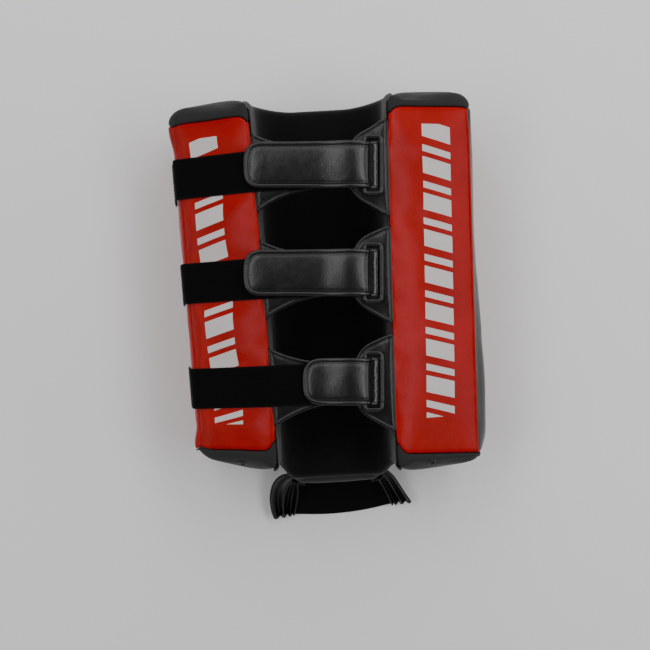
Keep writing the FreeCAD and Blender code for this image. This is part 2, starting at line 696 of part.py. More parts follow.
def make_tab(station, far):
    """Padded pull tab with its bound edge, and the hook patch under it."""
    hook_bottom = f"({WEB_BOTTOM} + Dims.webbing_thick + Dims.play)"
    tab_bottom = f"({hook_bottom} + Dims.hook_thick + Dims.glue_gap)"
    seam = "(Dims.binding + Dims.glue_gap)"
    body = new_body(f"pull_tab_{station}_body")
    corners, rounds = tab_outline(far, seam, seam)
    flat_pad(body, f"pull_tab_{station}", tab_bottom, "Dims.tab_thick", corners, rounds)
    publish(settle(body, station), f"pull_tab_{station}")
    body = new_body(f"tab_binding_{station}_body")
    corners, rounds = tab_outline(far, "0", "0")
    hole = tab_outline(far, "Dims.binding", "Dims.binding")
    flat_pad(body, f"tab_binding_{station}", f"{tab_bottom} - 2 * Dims.glue_gap",
             "Dims.tab_thick + 4 * Dims.glue_gap", corners, rounds, hole)
    publish(settle(body, station), f"tab_binding_{station}")
    body = new_body(f"hook_patch_{station}_body")
    inset = f"({seam} + Dims.hook_inset)"
    corners, rounds = tab_outline(far, inset, "2 * Dims.fold_leg")
    flat_pad(body, f"hook_patch_{station}", hook_bottom, "Dims.hook_thick", corners, rounds)
    publish(settle(body, station), f"hook_patch_{station}")


def make_straps():
    """The three strap sets; the bottom pull tab is the short one."""
    for station in STATIONS:
        make_flaps(station)
        make_webbing(station)
        make_keeper(station)
        make_ring(station)
        make_fold(station)
        make_tab(station, "Dims.tab_short" if station == "bottom" else "Dims.tab_long")


# ---------------------------------------------------------------- stirrup and eyelets


def make_stirrup():
    """Band that passes under the foot, with a folded leather ear at each end."""
    band = new_body("stirrup_band_body")
    near = [("-Dims.band_half_near", "Dims.band_near"), ("Dims.band_half_near", "Dims.band_near")]
    far = [("Dims.band_half_far", "Dims.band_far"), ("-Dims.band_half_far", "Dims.band_far")]
    rounds = {index: "Dims.band_round" for index in range(4)}
    flat_pad(band, "stirrup_band", "0", "Dims.band_thick", near + far, rounds)
    publish(band, "stirrup_band")
    for name, side in SIDES:
        make_ear(name, side)
        make_stirrup_anchor(name, side)


def make_ear(name, side):
    """A folded leather ear that narrows to a rolled hem on the stirrup's swing line."""
    leaf = new_body(f"stirrup_{name}_ear_leaf")
    low = "Dims.band_thick + Dims.play"
    hem_low = "Dims.hinge_height - Dims.hem_radius"
    hem_high = "Dims.hinge_height + Dims.hem_radius"
    corners = [
        ("0", hem_low), ("0", hem_high), ("-Dims.ear_length", "Dims.ear_top"),
        ("-Dims.ear_length", low), ("-Dims.ear_length / 4", low),
    ]
    sketch = outline(leaf, f"ear_{name}_outline", "YZ_Plane", "-Dims.ear_thick / 2", corners)
    pad = leaf.newObject("PartDesign::Pad", f"ear_{name}_pad")
    pad.Profile = sketch
    pad.setExpression("Length", "Dims.ear_thick")
    leaf.setExpression(".Placement.Base.x", f"{side} * Dims.ear_half")
    leaf.setExpression(".Placement.Base.y", "Dims.hinge_back")
    leaf.setExpression(".Placement.Rotation.Angle", f"{side} * Dims.ear_spread")
    hem = DOC.addObject("Part::Cylinder", f"ear_{name}_hem")
    hem.setExpression("Radius", "Dims.hem_radius")
    hem.setExpression("Height", "Dims.hem_length")
    hem.Placement.Rotation = FreeCAD.Rotation(FreeCAD.Vector(0, 1, 0), 90)
    hem.setExpression(".Placement.Base.x", f"{side} * Dims.ear_half - Dims.hem_length / 2")
    hem.setExpression(".Placement.Base.y", "Dims.hinge_back")
    hem.setExpression(".Placement.Base.z", "Dims.hinge_height")
    publish(fuse(f"ear_{name}_fuse", [leaf, hem]), f"stirrup_{name}_ear")


def make_stirrup_anchor(name, side):
    """Patch on the end of the tongue that the stirrup's ear is sewn to."""
    width = "2 * Dims.hem_length"
    low = (f"{side} * Dims.ear_half - Dims.hem_length",
           "Dims.tongue_end - Dims.glue_gap - Dims.cover", "Dims.hinge_height - Dims.hem_length")
    patch = box(f"stirrup_{name}_anchor_box", low, (width, "Dims.cover", width))
    publish(patch, f"stirrup_{name}_anchor")


def make_eyelets():
    """Vent eyelets on the rounded lower ends of the wings, one solid to each wing."""
    washers = []
    flange = value("Dims.eyelet_flange")
    bore = value("Dims.eyelet_bore")
    thick = value("Dims.eyelet_thick")
    lean = math.atan(value("Dims.rear_slope"))
    radius = value("Dims.end_round")
    half = value("(Dims.inner_half + Dims.outer_half) / 2 - Dims.eyelet_shift")
    low = value("Dims.lower_end")
    for _, side in SIDES:
        rear = FreeCAD.Vector(side * math.sin(lean), 0, math.cos(lean))
        outwards = FreeCAD.Vector(0, -1, 0)
        height = value(rear_height(str(half), "0"))
        across = side * (half + value("Dims.taper") * low)
        corner = FreeCAD.Vector(across, low, height)
        centre = corner - rear * radius - outwards * radius
        normal = (rear + outwards).normalize()
        foot = centre + normal * (radius + value("3 * Dims.glue_gap"))
        washer = Part.makeCylinder(flange, thick, foot, normal)
        washers.append(washer.cut(Part.makeCylinder(bore, 3 * thick, foot - normal * thick, normal)))
    eyelets = DOC.addObject("Part::Feature", "vent_eyelets_pair")
    eyelets.Shape = Part.makeCompound(washers)
    publish(eyelets, "vent_eyelets")


# ---------------------------------------------------------------- checks and files


def check_and_write():
    """Stop if anything failed, then write one STEP file per sub-part."""
    DOC.recompute()
    for obj in DOC.Objects:
        if "Invalid" in obj.State or "Error" in obj.State:
            raise RuntimeError(f"{obj.Label} did not rebuild: {obj.State}")
    labels = [obj.Label for obj in PARTS]
    if len(set(labels)) != len(labels):
        raise RuntimeError("two sub-parts share a name")
    os.makedirs("parts", exist_ok=True)
    for obj in PARTS:
        shape = obj.Shape
        if shape.isNull() or not shape.isValid() or not shape.Solids:
            raise RuntimeError(f"{obj.Label} has no valid solid")
    for obj in PARTS:
        obj.Shape.exportStep(f"parts/{obj.Label}.step")
    print(len(PARTS), "sub-parts written")


fill_sheet()
make_wing_gussets(make_foams())
make_wing_panels()
make_front_covers()
make_tongue_case()
make_channel()
make_straps()
make_stirrup()
make_eyelets()
check_and_write()
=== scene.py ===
"""Leg pad for kick training: covers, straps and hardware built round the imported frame.

Sizes are millimetres and degrees in the frame's own axes: +X across the leg, +Y up the leg,
+Z away from the striking face. Meshes are turned into metres when they are made.
"""
import json
import math
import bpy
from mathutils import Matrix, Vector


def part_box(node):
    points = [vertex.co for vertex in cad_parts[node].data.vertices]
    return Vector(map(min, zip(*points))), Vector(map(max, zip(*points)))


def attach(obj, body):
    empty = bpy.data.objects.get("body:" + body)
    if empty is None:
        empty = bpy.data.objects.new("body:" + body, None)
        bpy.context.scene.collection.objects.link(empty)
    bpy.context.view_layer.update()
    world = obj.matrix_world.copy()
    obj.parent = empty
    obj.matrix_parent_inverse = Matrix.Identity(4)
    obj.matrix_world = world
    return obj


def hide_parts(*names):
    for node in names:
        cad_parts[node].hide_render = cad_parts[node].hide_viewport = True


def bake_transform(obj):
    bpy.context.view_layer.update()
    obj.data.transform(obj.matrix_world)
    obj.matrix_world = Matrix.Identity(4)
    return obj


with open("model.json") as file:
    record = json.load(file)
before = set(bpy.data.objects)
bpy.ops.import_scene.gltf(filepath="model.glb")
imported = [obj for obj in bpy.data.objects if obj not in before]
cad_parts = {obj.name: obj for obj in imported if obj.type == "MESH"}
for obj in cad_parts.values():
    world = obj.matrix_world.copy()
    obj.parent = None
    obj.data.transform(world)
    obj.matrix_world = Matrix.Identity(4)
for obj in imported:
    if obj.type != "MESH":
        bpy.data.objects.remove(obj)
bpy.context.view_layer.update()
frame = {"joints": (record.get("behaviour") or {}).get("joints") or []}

from types import SimpleNamespace

import bmesh
import bpy
import numpy as np
from mathutils import Vector, noise

MM = 0.001
SIDES = {"left": -1, "right": 1}
STATIONS = ("top", "middle", "bottom")
JOINTS = {joint["name"]: joint for joint in frame["joints"]}

# driving dimensions of the pad
INNER = 76.0            # half width of the channel at mid length
OUTER = 184.0           # half width of the pad at mid length
TAPER = 0.027           # half width gained per millimetre up the leg
REAR = 190.0            # height of a rear face at the channel
SLOPE = 0.4167          # fall of a rear face per millimetre outwards
BLOCK = 66.0            # height of the front block
LOW = -207.5            # lower end of the wings
HIGH = 243.0            # upper end of the pad
SEAM = 18.0             # red panels start this far from the wing's ends
WING_ROOT = 77.5        # half width where the wing cover starts, behind the lining
TOUCH = 0.01            # places nearer than this are on a line or a side


# ---------------------------------------------------------------- small helpers


def box_mm(node):
    """Lowest and highest corner of a CAD node, in millimetres."""
    low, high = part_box(node)
    return np.array(low) / MM, np.array(high) / MM


def smooth(low, high, value):
    """0 below low, 1 above high, smooth between."""
    t = np.clip((value - low) / (high - low), 0, 1)
    return t * t * (3 - 2 * t)


def unit(vectors):
    lengths = np.linalg.norm(vectors, axis=-1, keepdims=True)
    return vectors / np.maximum(lengths, 1e-9)


def waviness(points, size, seed):
    """Smooth noise from -1 to 1 at each point; size is the width of a bump."""
    shift = Vector((13.7 * seed, 7.1 * seed, 3.3 * seed))
    return np.array([noise.noise(Vector(point) / size + shift) for point in points])


def ticks(length, step, exact=()):
    """Grid lines from 0 to length, about step apart, that include some exact places."""
    places = sorted({0.0, float(length), *[float(place) for place in exact]})
    lines = [0.0]
    for start, stop in zip(places, places[1:]):
        count = max(1, round((stop - start) / step))
        lines.extend(np.linspace(start, stop, count + 1)[1:])
    return np.array(lines)


def rounded_path(corners, radii, step=4.0):
    """Points along a path in a plane whose corners are rounded by arcs."""
    corners = [np.array(corner, float) for corner in corners]
    points = [corners[0]]
    for before, here, after, radius in zip(corners, corners[1:], corners[2:], radii):
        back = unit(before - here)
        ahead = unit(after - here)
        turn = math.pi - math.acos(np.clip(back @ ahead, -1, 1))
        if radius * turn < 0.05:
            points.append(here)
            continue
        setback = radius * math.tan(turn / 2)
        centre = here + unit(back + ahead) * radius / math.cos(turn / 2)
        first = here + back * setback - centre
        last = here + ahead * setback - centre
        for share in np.linspace(0, 1, max(4, int(radius * turn / step) + 3)):
            arm = first * math.sin((1 - share) * turn) + last * math.sin(share * turn)
            points.append(centre + arm / math.sin(turn))
    points.append(corners[-1])
    return np.array(points)


def lengths_along(points):
    """Length of a polyline up to each of its points."""
    return np.concatenate([[0], np.cumsum(np.linalg.norm(np.diff(points, axis=0), axis=1))])


def resample(points, step, closed=False):
    """Evenly spaced points along a polyline."""
    if closed:
        points = np.vstack([points, points[:1]])
    along = lengths_along(points)
    count = max(2, int(round(along[-1] / step)) + 1)
    places = np.linspace(0, along[-1], count)
    if closed:
        places = places[:-1]
    return np.stack([np.interp(places, along, points[:, axis]) for axis in range(points.shape[1])], 1)


# ---------------------------------------------------------------- making pieces


def make_piece(name, points, faces, material, flat=None, merge=0.0, closed=True):
    """A mesh object from points in millimetres; flat holds cloth coordinates for its material."""
    mesh = bpy.data.meshes.new(name)
    mesh.from_pydata((np.asarray(points) * MM).tolist(), [], [list(map(int, face)) for face in faces])
    if flat is not None:
        attribute = mesh.attributes.new("flat", "FLOAT_VECTOR", "POINT")
        attribute.data.foreach_set("vector", np.asarray(flat, np.float32).ravel())
    tool = bmesh.new()
    tool.from_mesh(mesh)
    if merge:
        bmesh.ops.remove_doubles(tool, verts=tool.verts, dist=merge * MM)
        bmesh.ops.dissolve_degenerate(tool, edges=tool.edges, dist=merge * MM / 4)
    if closed:
        bmesh.ops.recalc_face_normals(tool, faces=tool.faces)
    tool.to_mesh(mesh)
    tool.free()
    mesh.shade_smooth()
    mesh.materials.append(material)
    piece = bpy.data.objects.new(name, mesh)
    bpy.context.scene.collection.objects.link(piece)
    return piece


def subdivide(piece, levels=1):
    modifier = piece.modifiers.new("subdivision", "SUBSURF")
    modifier.levels = levels
    modifier.render_levels = levels
    return piece


def thicken(piece, thickness):
    """Give an open sheet a thickness, inwards from its face."""
    modifier = piece.modifiers.new("thickness", "SOLIDIFY")
    modifier.thickness = thickness * MM
    modifier.offset = -1
    modifier.use_even_offset = False
    return piece


def stand_for(piece, nodes):
    """Hide the CAD nodes that a piece stands for."""
    if nodes:
        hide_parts(*nodes)
    return piece


def place(piece, body, *nodes):
    """Let a piece ride on a body."""
    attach(piece, body)
    return stand_for(piece, nodes)


def bend(piece, bodies, ends, *nodes):
    """Bake a piece's placement into its mesh, and hide the CAD nodes that it stands for."""
    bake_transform(piece)
    return stand_for(piece, nodes)


def add_leaf(name, points, faces, flat, material, body, *nodes):
    """Make a closed leaf and let it ride on a body."""
    piece = make_piece(name, points, faces, material, flat, merge=0.02)
    return place(subdivide(piece), body, *nodes)


def grid_faces(rows, columns, start=0, flip=False):
    """Quads of a grid whose points are stored row by row."""
    row, column = np.meshgrid(np.arange(rows - 1), np.arange(columns - 1), indexing="ij")
    corner = (start + row * columns + column).ravel()
    quads = np.stack([corner, corner + 1, corner + columns + 1, corner + columns], 1)
    return quads[:, ::-1] if flip else quads


def loft(rings, closed=False):
    """Skin over rings of points: points and faces, with an end cap each unless it closes on itself."""
    count, around = len(rings), len(rings[0])
    faces = []
    for index in range(count if closed else count - 1):
        after = (index + 1) % count
        for turn in range(around):
            onward = (turn + 1) % around
            faces.append([index * around + turn, index * around + onward,
                          after * around + onward, after * around + turn])
    if not closed:
        faces.append(list(range(around))[::-1])
        faces.append(list(range((count - 1) * around, count * around)))
    return np.concatenate(rings), faces


def tube(path, radius, around=10, closed=False, squash=1.0):
    """Points and faces of a round tube along a path; radius may change along it."""
    path = np.asarray(path, float)
    radii = np.broadcast_to(radius, (len(path),))
    if closed:
        heading = unit(np.roll(path, -1, 0) - np.roll(path, 1, 0))
    else:
        heading = unit(np.gradient(path, axis=0))
    side = np.cross(heading[0], (0, 0, 1.0))
    if np.linalg.norm(side) < 0.1:
        side = np.cross(heading[0], (0, 1.0, 0))
    rings = []
    for point, forward, size in zip(path, heading, radii):
        side = unit(side - forward * (side @ forward))
        up = np.cross(side, forward)
        angles = np.arange(around) * 2 * math.pi / around
        ring = np.outer(np.cos(angles), side) + np.outer(np.sin(angles), up) * squash
        rings.append(point + ring * size)
    return loft(rings, closed)


def join(parts):
    """Several (points, faces) as one."""
    points, faces, total = [], [], 0
    for some_points, some_faces in parts:
        points.append(some_points)
        faces.extend([[corner + total for corner in face] for face in some_faces])
        total += len(some_points)
    return np.concatenate(points), faces


STITCH = 4.3            # pitch of the stitching
STITCH_LONG = 3.1       # length of a stitch
THREAD = 0.45           # half thickness of the thread
PLUMP = ((-0.34, 0.8), (0, 1.0), (0.34, 0.8))   # place along a stitch, and thickness there


def stitches(track, normals):
    """Separate small stitches along a track that lies on a surface."""
    ring = [(math.cos(turn), math.sin(turn)) for turn in np.arange(6) * math.pi / 3]
    parts = []
    for here, after, normal in zip(track, track[1:], normals):
        forward = unit(after - here)
        side = unit(np.cross(normal, forward))
        up = np.cross(forward, side)
        middle = (here + after) / 2
        points = [middle - forward * STITCH_LONG / 2 - up * THREAD]
        for share, fat in PLUMP:
            for across, high in ring:
                arm = side * across * THREAD * fat + up * high * THREAD * fat
                points.append(middle + forward * share * STITCH_LONG + arm)
        points.append(middle + forward * STITCH_LONG / 2 - up * THREAD)
        faces = []
        for turn in range(6):
            onward = (turn + 1) % 6
            faces.append([0, 1 + onward, 1 + turn])
            for level in (0, 6):
                low, high = 1 + level, 7 + level
                faces.append([low + turn, low + onward, high + onward, high + turn])
            faces.append([13 + turn, 13 + onward, 19])
        parts.append((np.array(points), faces))
    return join(parts)


# ---------------------------------------------------------------- materials


def new_material(name):
    material = bpy.data.materials.new(name)
    material.use_nodes = True
    shader = material.node_tree.nodes["Principled BSDF"]
    return material, material.node_tree, shader


def feed(tree, made, inputs):
    """Set a node's inputs, each from a number, a colour or another node's socket."""
    for key, source in inputs.items():
        if isinstance(source, bpy.types.NodeSocket):
            tree.links.new(source, made.inputs[key])
        else:
            made.inputs[key].default_value = source


def node(tree, kind, inputs=None, **settings):
    """Add a shader node."""
    made = tree.nodes.new("ShaderNode" + kind)
    for key, setting in settings.items():
        setattr(made, key, setting)
    feed(tree, made, inputs or {})
    return made


def maths(tree, operation, first, second=0.0, third=0.0):
    inputs = {0: first, 1: second}
    if operation in ("MULTIPLY_ADD", "WRAP", "SMOOTH_MIN"):
        inputs[2] = third
    return node(tree, "Math", inputs, operation=operation).outputs[0]


def span(tree, value, low, high, to_low=0.0, to_high=1.0):
    """Map a value from one range to another, clamped."""
    inputs = {"Value": value, "From Min": low, "From Max": high, "To Min": to_low, "To Max": to_high}
    return node(tree, "MapRange", inputs, interpolation_type="SMOOTHSTEP").outputs[0]


def blend_colour(tree, share, first, second):
    return node(tree, "Mix", {0: share, 6: first, 7: second}, data_type="RGBA").outputs[2]


def millimetres(tree):
    """Place on the piece, in millimetres."""
    place_node = node(tree, "TexCoord").outputs["Object"]
    return node(tree, "VectorMath", {0: place_node, "Scale": 1000.0}, operation="SCALE").outputs[0]


def cloth_axes(tree):
    """Cloth coordinates: along, across and distance from the edge, in millimetres."""
    flat = node(tree, "Attribute", attribute_name="flat").outputs["Vector"]
    parts = node(tree, "SeparateXYZ", {0: flat})
    return parts.outputs[0], parts.outputs[1], parts.outputs[2]


def lighter(colour, factor):
    return [channel * factor for channel in colour[:3]] + [1]


def noise_at(tree, where, size, detail=3.0, roughness=0.5):
    """Noise whose bumps are about size millimetres wide, from 0 to 1."""
    inputs = {"Vector": where, "Scale": 1 / size, "Detail": detail, "Roughness": roughness}
    return node(tree, "TexNoise", inputs).outputs[0]


def raise_surface(tree, shader, layers):
    """Add bump: layers of (height from 0 to 1, depth in millimetres)."""
    normal = None
    for height, depth in layers:
        inputs = {"Height": height, "Distance": depth * MM, "Strength": 1.0}
        if normal:
            inputs["Normal"] = normal
        normal = node(tree, "Bump", inputs).outputs[0]
    tree.links.new(normal, shader.inputs["Normal"])


def leather(name, colour, pale, roughness, shine=0.4, printed=False):
    """Grained synthetic leather with faint creases, rubbed pale in places."""
    material, tree, shader = new_material(name)
    where = millimetres(tree)
    grain = node(tree, "TexVoronoi", {"Vector": where, "Scale": 1 / 1.3}, feature="SMOOTH_F1")
    fine = noise_at(tree, where, 0.7, 2.0)
    creases = noise_at(tree, where, 9.0, 4.0, 0.6)
    clouds = noise_at(tree, where, 60.0, 3.0)
    rubbed = span(tree, noise_at(tree, where, 22.0, 5.0, 0.65), 0.55, 0.8)
    base = blend_colour(tree, span(tree, clouds, 0.3, 0.7), colour, lighter(colour, 0.82))
    base = blend_colour(tree, maths(tree, "MULTIPLY", rubbed, 0.35), base, pale)
    rough = maths(tree, "MULTIPLY_ADD", creases, 0.16, roughness - 0.08)
    rough = maths(tree, "MULTIPLY_ADD", rubbed, 0.1, rough)
    if printed:
        ink = print_mask(tree, where)
        base = blend_colour(tree, ink, base, INK)
        rough = maths(tree, "MULTIPLY_ADD", ink, 0.08, rough)
    feed(tree, shader, {"Base Color": base, "Roughness": rough, "Specular IOR Level": shine,
                        "Coat Weight": 0.15 * shine, "Coat Roughness": 0.3})
    raise_surface(tree, shader, [(grain.outputs["Distance"], 0.12), (fine, 0.05), (creases, 0.3)])
    return material


PRINT_START = 58.0      # printed column from the lower end of the wing
PRINT_END = 412.0       # and its other end
PRINT_LEFT = 36.0       # column's edge, from the channel side of the panel
PRINT_RIGHT = 72.0      # column's other edge
PRINT_PITCH = 44.25     # one thick and one thin bar
PRINT_LEAN = 0.28       # how far a bar leans
PRINT_DRIFT = 0.012     # the column drifts outwards by this much per millimetre up the leg
PRINT_SHIFT = 6.0       # the bars start this far up the leg
PRINT_BARS = ((0.08, 0.54), (0.68, 0.86))       # where a bar starts and stops, as a share of the pitch
PRINT_BLUR = 0.006      # softness of a bar's edge, as a share of the pitch
INK = (0.60, 0.56, 0.55, 1)


def between(tree, value, start, stop, blur):
    """1 where a value lies between two limits."""
    return maths(tree, "MULTIPLY", span(tree, value, start - blur, start + blur),
                 span(tree, value, stop + blur, stop - blur))


def print_mask(tree, where):
    """A column of leaning bars, thick and thin in turn, with slightly worn ink."""
    along, wide, _ = cloth_axes(tree)
    across = maths(tree, "MULTIPLY_ADD", along, -PRINT_DRIFT, wide)
    shifted = maths(tree, "MULTIPLY_ADD", across, PRINT_LEAN, along)
    start = maths(tree, "SUBTRACT", shifted, PRINT_SHIFT)
    share = maths(tree, "FRACT", maths(tree, "DIVIDE", start, PRINT_PITCH))
    mask = None
    for start, stop in PRINT_BARS:
        bar = between(tree, share, start, stop, PRINT_BLUR)
        mask = bar if mask is None else maths(tree, "MAXIMUM", mask, bar)
    for value, start, stop in ((along, PRINT_START, PRINT_END), (across, PRINT_LEFT, PRINT_RIGHT)):
        mask = maths(tree, "MULTIPLY", mask, between(tree, value, start, stop, 0.2))
    worn = span(tree, noise_at(tree, where, 3.0, 6.0, 0.75), 0.30, 0.36)
    return maths(tree, "MULTIPLY", mask, worn)


def knit(name, colour, pale, shine, sheen):
    """Matt stretch fabric over foam: fine loops and a little lint."""
    material, tree, shader = new_material(name)
    where = millimetres(tree)
    loops = node(tree, "TexVoronoi", {"Vector": where, "Scale": 1 / 0.8}, feature="F1")
    lint = span(tree, noise_at(tree, where, 0.9, 3.0, 0.7), 0.55, 0.75)
    clouds = noise_at(tree, where, 30.0, 4.0)
    base = blend_colour(tree, clouds, colour, pale)
    base = blend_colour(tree, maths(tree, "MULTIPLY", lint, 0.5), base, lighter(pale, 2.0))
    rough = maths(tree, "MULTIPLY_ADD", clouds, 0.15, 0.68)
    feed(tree, shader, {"Base Color": base, "Roughness": rough, "Specular IOR Level": shine,
                        "Sheen Weight": sheen, "Sheen Roughness": 0.5})
    raise_surface(tree, shader, [(loops.outputs["Distance"], 0.12), (clouds, 0.8)])
    return material


RIB = 1.25              # pitch of the webbing's ribs
PICK = 1.1              # and of its cross threads


def webbing(name, colour, pale):
    """Woven elastic: ribs along its length, picks across, a speckle, and pale selvedges."""
    material, tree, shader = new_material(name)
    along, across, edge = cloth_axes(tree)
    ribs = maths(tree, "SINE", maths(tree, "MULTIPLY", across, 2 * math.pi / RIB))
    picks = maths(tree, "SINE", maths(tree, "MULTIPLY", along, 2 * math.pi / PICK))
    weave = maths(tree, "MULTIPLY_ADD", maths(tree, "MULTIPLY", ribs, picks), 0.25, 0.5)
    weave = maths(tree, "MULTIPLY_ADD", ribs, 0.2, weave)
    where = millimetres(tree)
    speckle = span(tree, noise_at(tree, where, 0.8, 2.0, 0.8), 0.5, 0.8)
    selvedge = span(tree, edge, 2.6, 1.2)
    base = blend_colour(tree, maths(tree, "MULTIPLY", speckle, 0.6), colour, pale)
    base = blend_colour(tree, maths(tree, "MULTIPLY", selvedge, 0.5), base, pale)
    feed(tree, shader, {"Base Color": base, "Roughness": 0.88, "Specular IOR Level": 0.1})
    raise_surface(tree, shader, [(weave, 0.22), (speckle, 0.1)])
    return material


def moulded(name, colour, roughness, metallic=0.0):
    """Smooth moulded or enamelled surface with faint handling marks."""
    material, tree, shader = new_material(name)
    where = millimetres(tree)
    marks = noise_at(tree, where, 4.0, 5.0, 0.6)
    base = blend_colour(tree, marks, colour, lighter(colour, 1.5))
    rough = maths(tree, "MULTIPLY_ADD", marks, 0.14, roughness)
    feed(tree, shader, {"Base Color": base, "Roughness": rough, "Metallic": metallic})
    raise_surface(tree, shader, [(marks, 0.05)])
    return material


def hooks(name, colour):
    """Hook tape: rows of tiny stiff hooks."""
    material, tree, shader = new_material(name)
    where = millimetres(tree)
    rows = node(tree, "TexVoronoi", {"Vector": where, "Scale": 1 / 1.4, "Randomness": 0.25})
    tips = span(tree, rows.outputs["Distance"], 0.5, 0.1)
    base = blend_colour(tree, tips, colour, lighter(colour, 3))
    feed(tree, shader, {"Base Color": base, "Roughness": 0.6})
    raise_surface(tree, shader, [(tips, 0.5)])
    return material


def thread(name, colour):
    """Twisted polyester thread."""
    material, tree, shader = new_material(name)
    where = millimetres(tree)
    twist = noise_at(tree, where, 0.35, 2.0)
    base = blend_colour(tree, twist, colour, lighter(colour, 2))
    feed(tree, shader, {"Base Color": base, "Roughness": 0.5})
    raise_surface(tree, shader, [(twist, 0.06)])
    return material


RED_BASE = (0.38, 0.0026, 0.0024, 1)
RED_RUBBED = (0.40, 0.012, 0.008, 1)
RED = leather("red_leather", RED_BASE, RED_RUBBED, 0.31, 0.15)
RED_PRINTED = leather("red_leather_printed", RED_BASE, RED_RUBBED, 0.31, 0.15, True)
BLACK = leather("black_leather", (0.0028, 0.0027, 0.0028, 1), (0.010, 0.010, 0.010, 1), 0.30, 0.55)
# Darker copy of the black leather: its darker colour is painted shade, and its lower shine is a duller
# finish. Used on the flaps, the keepers and the right side panel.
SHADED_DULL_BLACK = leather("dull_black_leather", (0.0018, 0.0016, 0.0017, 1), (0.006, 0.006, 0.006, 1),
                     0.30, 0.45)
NEOPRENE = knit("black_neoprene", (0.009, 0.009, 0.010, 1), (0.016, 0.016, 0.017, 1), 0.3, 0.12)
LINING = knit("lining_fabric", (0.0014, 0.0011, 0.0013, 1), (0.0035, 0.003, 0.0033, 1), 0.1, 0.2)
ELASTIC = webbing("elastic_webbing", (0.0012, 0.0012, 0.0012, 1), (0.006, 0.006, 0.0062, 1))
STIRRUP_WEB = webbing("stirrup_webbing", (0.004, 0.004, 0.004, 1), (0.014, 0.014, 0.0145, 1))
PLASTIC = moulded("ring_plastic", (0.012, 0.012, 0.013, 1), 0.16)
ENAMEL = moulded("eyelet_enamel", (0.015, 0.015, 0.016, 1), 0.3, 0.4)
HOOKS = hooks("hook_tape", (0.010, 0.010, 0.011, 1))
THREAD_BLACK = thread("black_thread", (0.004, 0.004, 0.004, 1))
RAW_EDGE = thread("raw_leather_edge", (0.078, 0.075, 0.073, 1))


# ---------------------------------------------------------------- swollen forms

COVER_THICK = 1.6       # thickness of the covers
SWELL_STEPS = 20        # steps of the simulation
CLOTH = {
    "quality": 6, "mass": 0.3, "tension_stiffness": 12, "compression_stiffness": 12,
    "shear_stiffness": 4, "bending_stiffness": 0.6, "use_pressure": True,
    "uniform_pressure_force": 4.0, "vertex_group_mass": "held",
}


def read(items, key):
    """One vector of every item, as rows."""
    values = np.zeros(len(items) * 3)
    items.foreach_get(key, values)
    return values.reshape(-1, 3)


def inflate(piece, held, cap):
    """Swell a mesh by cloth simulation, except where it is held; no point moves further than cap."""
    group = piece.vertex_groups.new(name="held")
    group.add(np.flatnonzero(held).tolist(), 1.0, "REPLACE")
    modifier = piece.modifiers.new("swell", "CLOTH")
    for key, setting in CLOTH.items():
        setattr(modifier.settings, key, setting)
    modifier.settings.effector_weights.gravity = 0
    modifier.point_cache.frame_start = 1
    modifier.point_cache.frame_end = SWELL_STEPS
    scene = bpy.context.scene
    for step in range(1, SWELL_STEPS + 1):
        scene.frame_set(step)
    graph = bpy.context.evaluated_depsgraph_get()
    before = read(piece.data.vertices, "co")
    move = read(piece.evaluated_get(graph).data.vertices, "co") - before
    length = np.linalg.norm(move, axis=1, keepdims=True)
    limit = cap * MM
    move *= limit * np.tanh(length / limit) / np.maximum(length, 1e-9)
    piece.modifiers.remove(modifier)
    piece.vertex_groups.clear()
    piece.data.vertices.foreach_set("co", (before + move).ravel())
    piece.data.update()
    scene.frame_set(1)


def swell(base, faces, held, cap):
    """Swell a closed form: its faces turned outwards, its swollen points and their normals."""
    working = make_piece("working_form", base, faces, BLACK)
    mesh = working.data
    faces = np.array([list(polygon.vertices) for polygon in mesh.polygons])
    inflate(working, held, cap)
    points = read(mesh.vertices, "co") / MM
    normals = read(mesh.vertex_normals, "vector")
    bpy.data.objects.remove(working)
    bpy.data.meshes.remove(mesh)
    return faces, points, normals


def lattice(across, along, upward):
    """Surface of a box as a grid: points and quads."""
    index, points, faces = {}, [], []

    def vertex(spot):
        if spot not in index:
            index[spot] = len(points)
            points.append((across[spot[0]], along[spot[1]], upward[spot[2]]))
        return index[spot]

    counts = (len(across) - 1, len(along) - 1, len(upward) - 1)
    for axis in range(3):
        first, second = [other for other in range(3) if other != axis]
        for end in (0, 1):
            for i in range(counts[first]):
                for j in range(counts[second]):
                    quad = []
                    for step_i, step_j in ((0, 0), (1, 0), (1, 1), (0, 1)):
                        spot = [0, 0, 0]
                        spot[axis] = end * counts[axis]
                        spot[first] = i + step_i
                        spot[second] = j + step_j
                        quad.append(vertex(tuple(spot)))
                    faces.append(quad)
    return np.array(points), np.array(faces)


def cover(name, points, faces, flat, material, fill, *nodes):
    """Cut some faces out of a swollen form and make them a padded sheet of their own."""
    used = np.unique(faces)
    renumber = np.full(len(points), -1)
    renumber[used] = np.arange(len(used))
    piece = make_piece(name, points[used], renumber[faces], material, flat[used], closed=False)
    thicken(piece, COVER_THICK)
    place(subdivide(piece), "root", *nodes)


# ---------------------------------------------------------------- wings

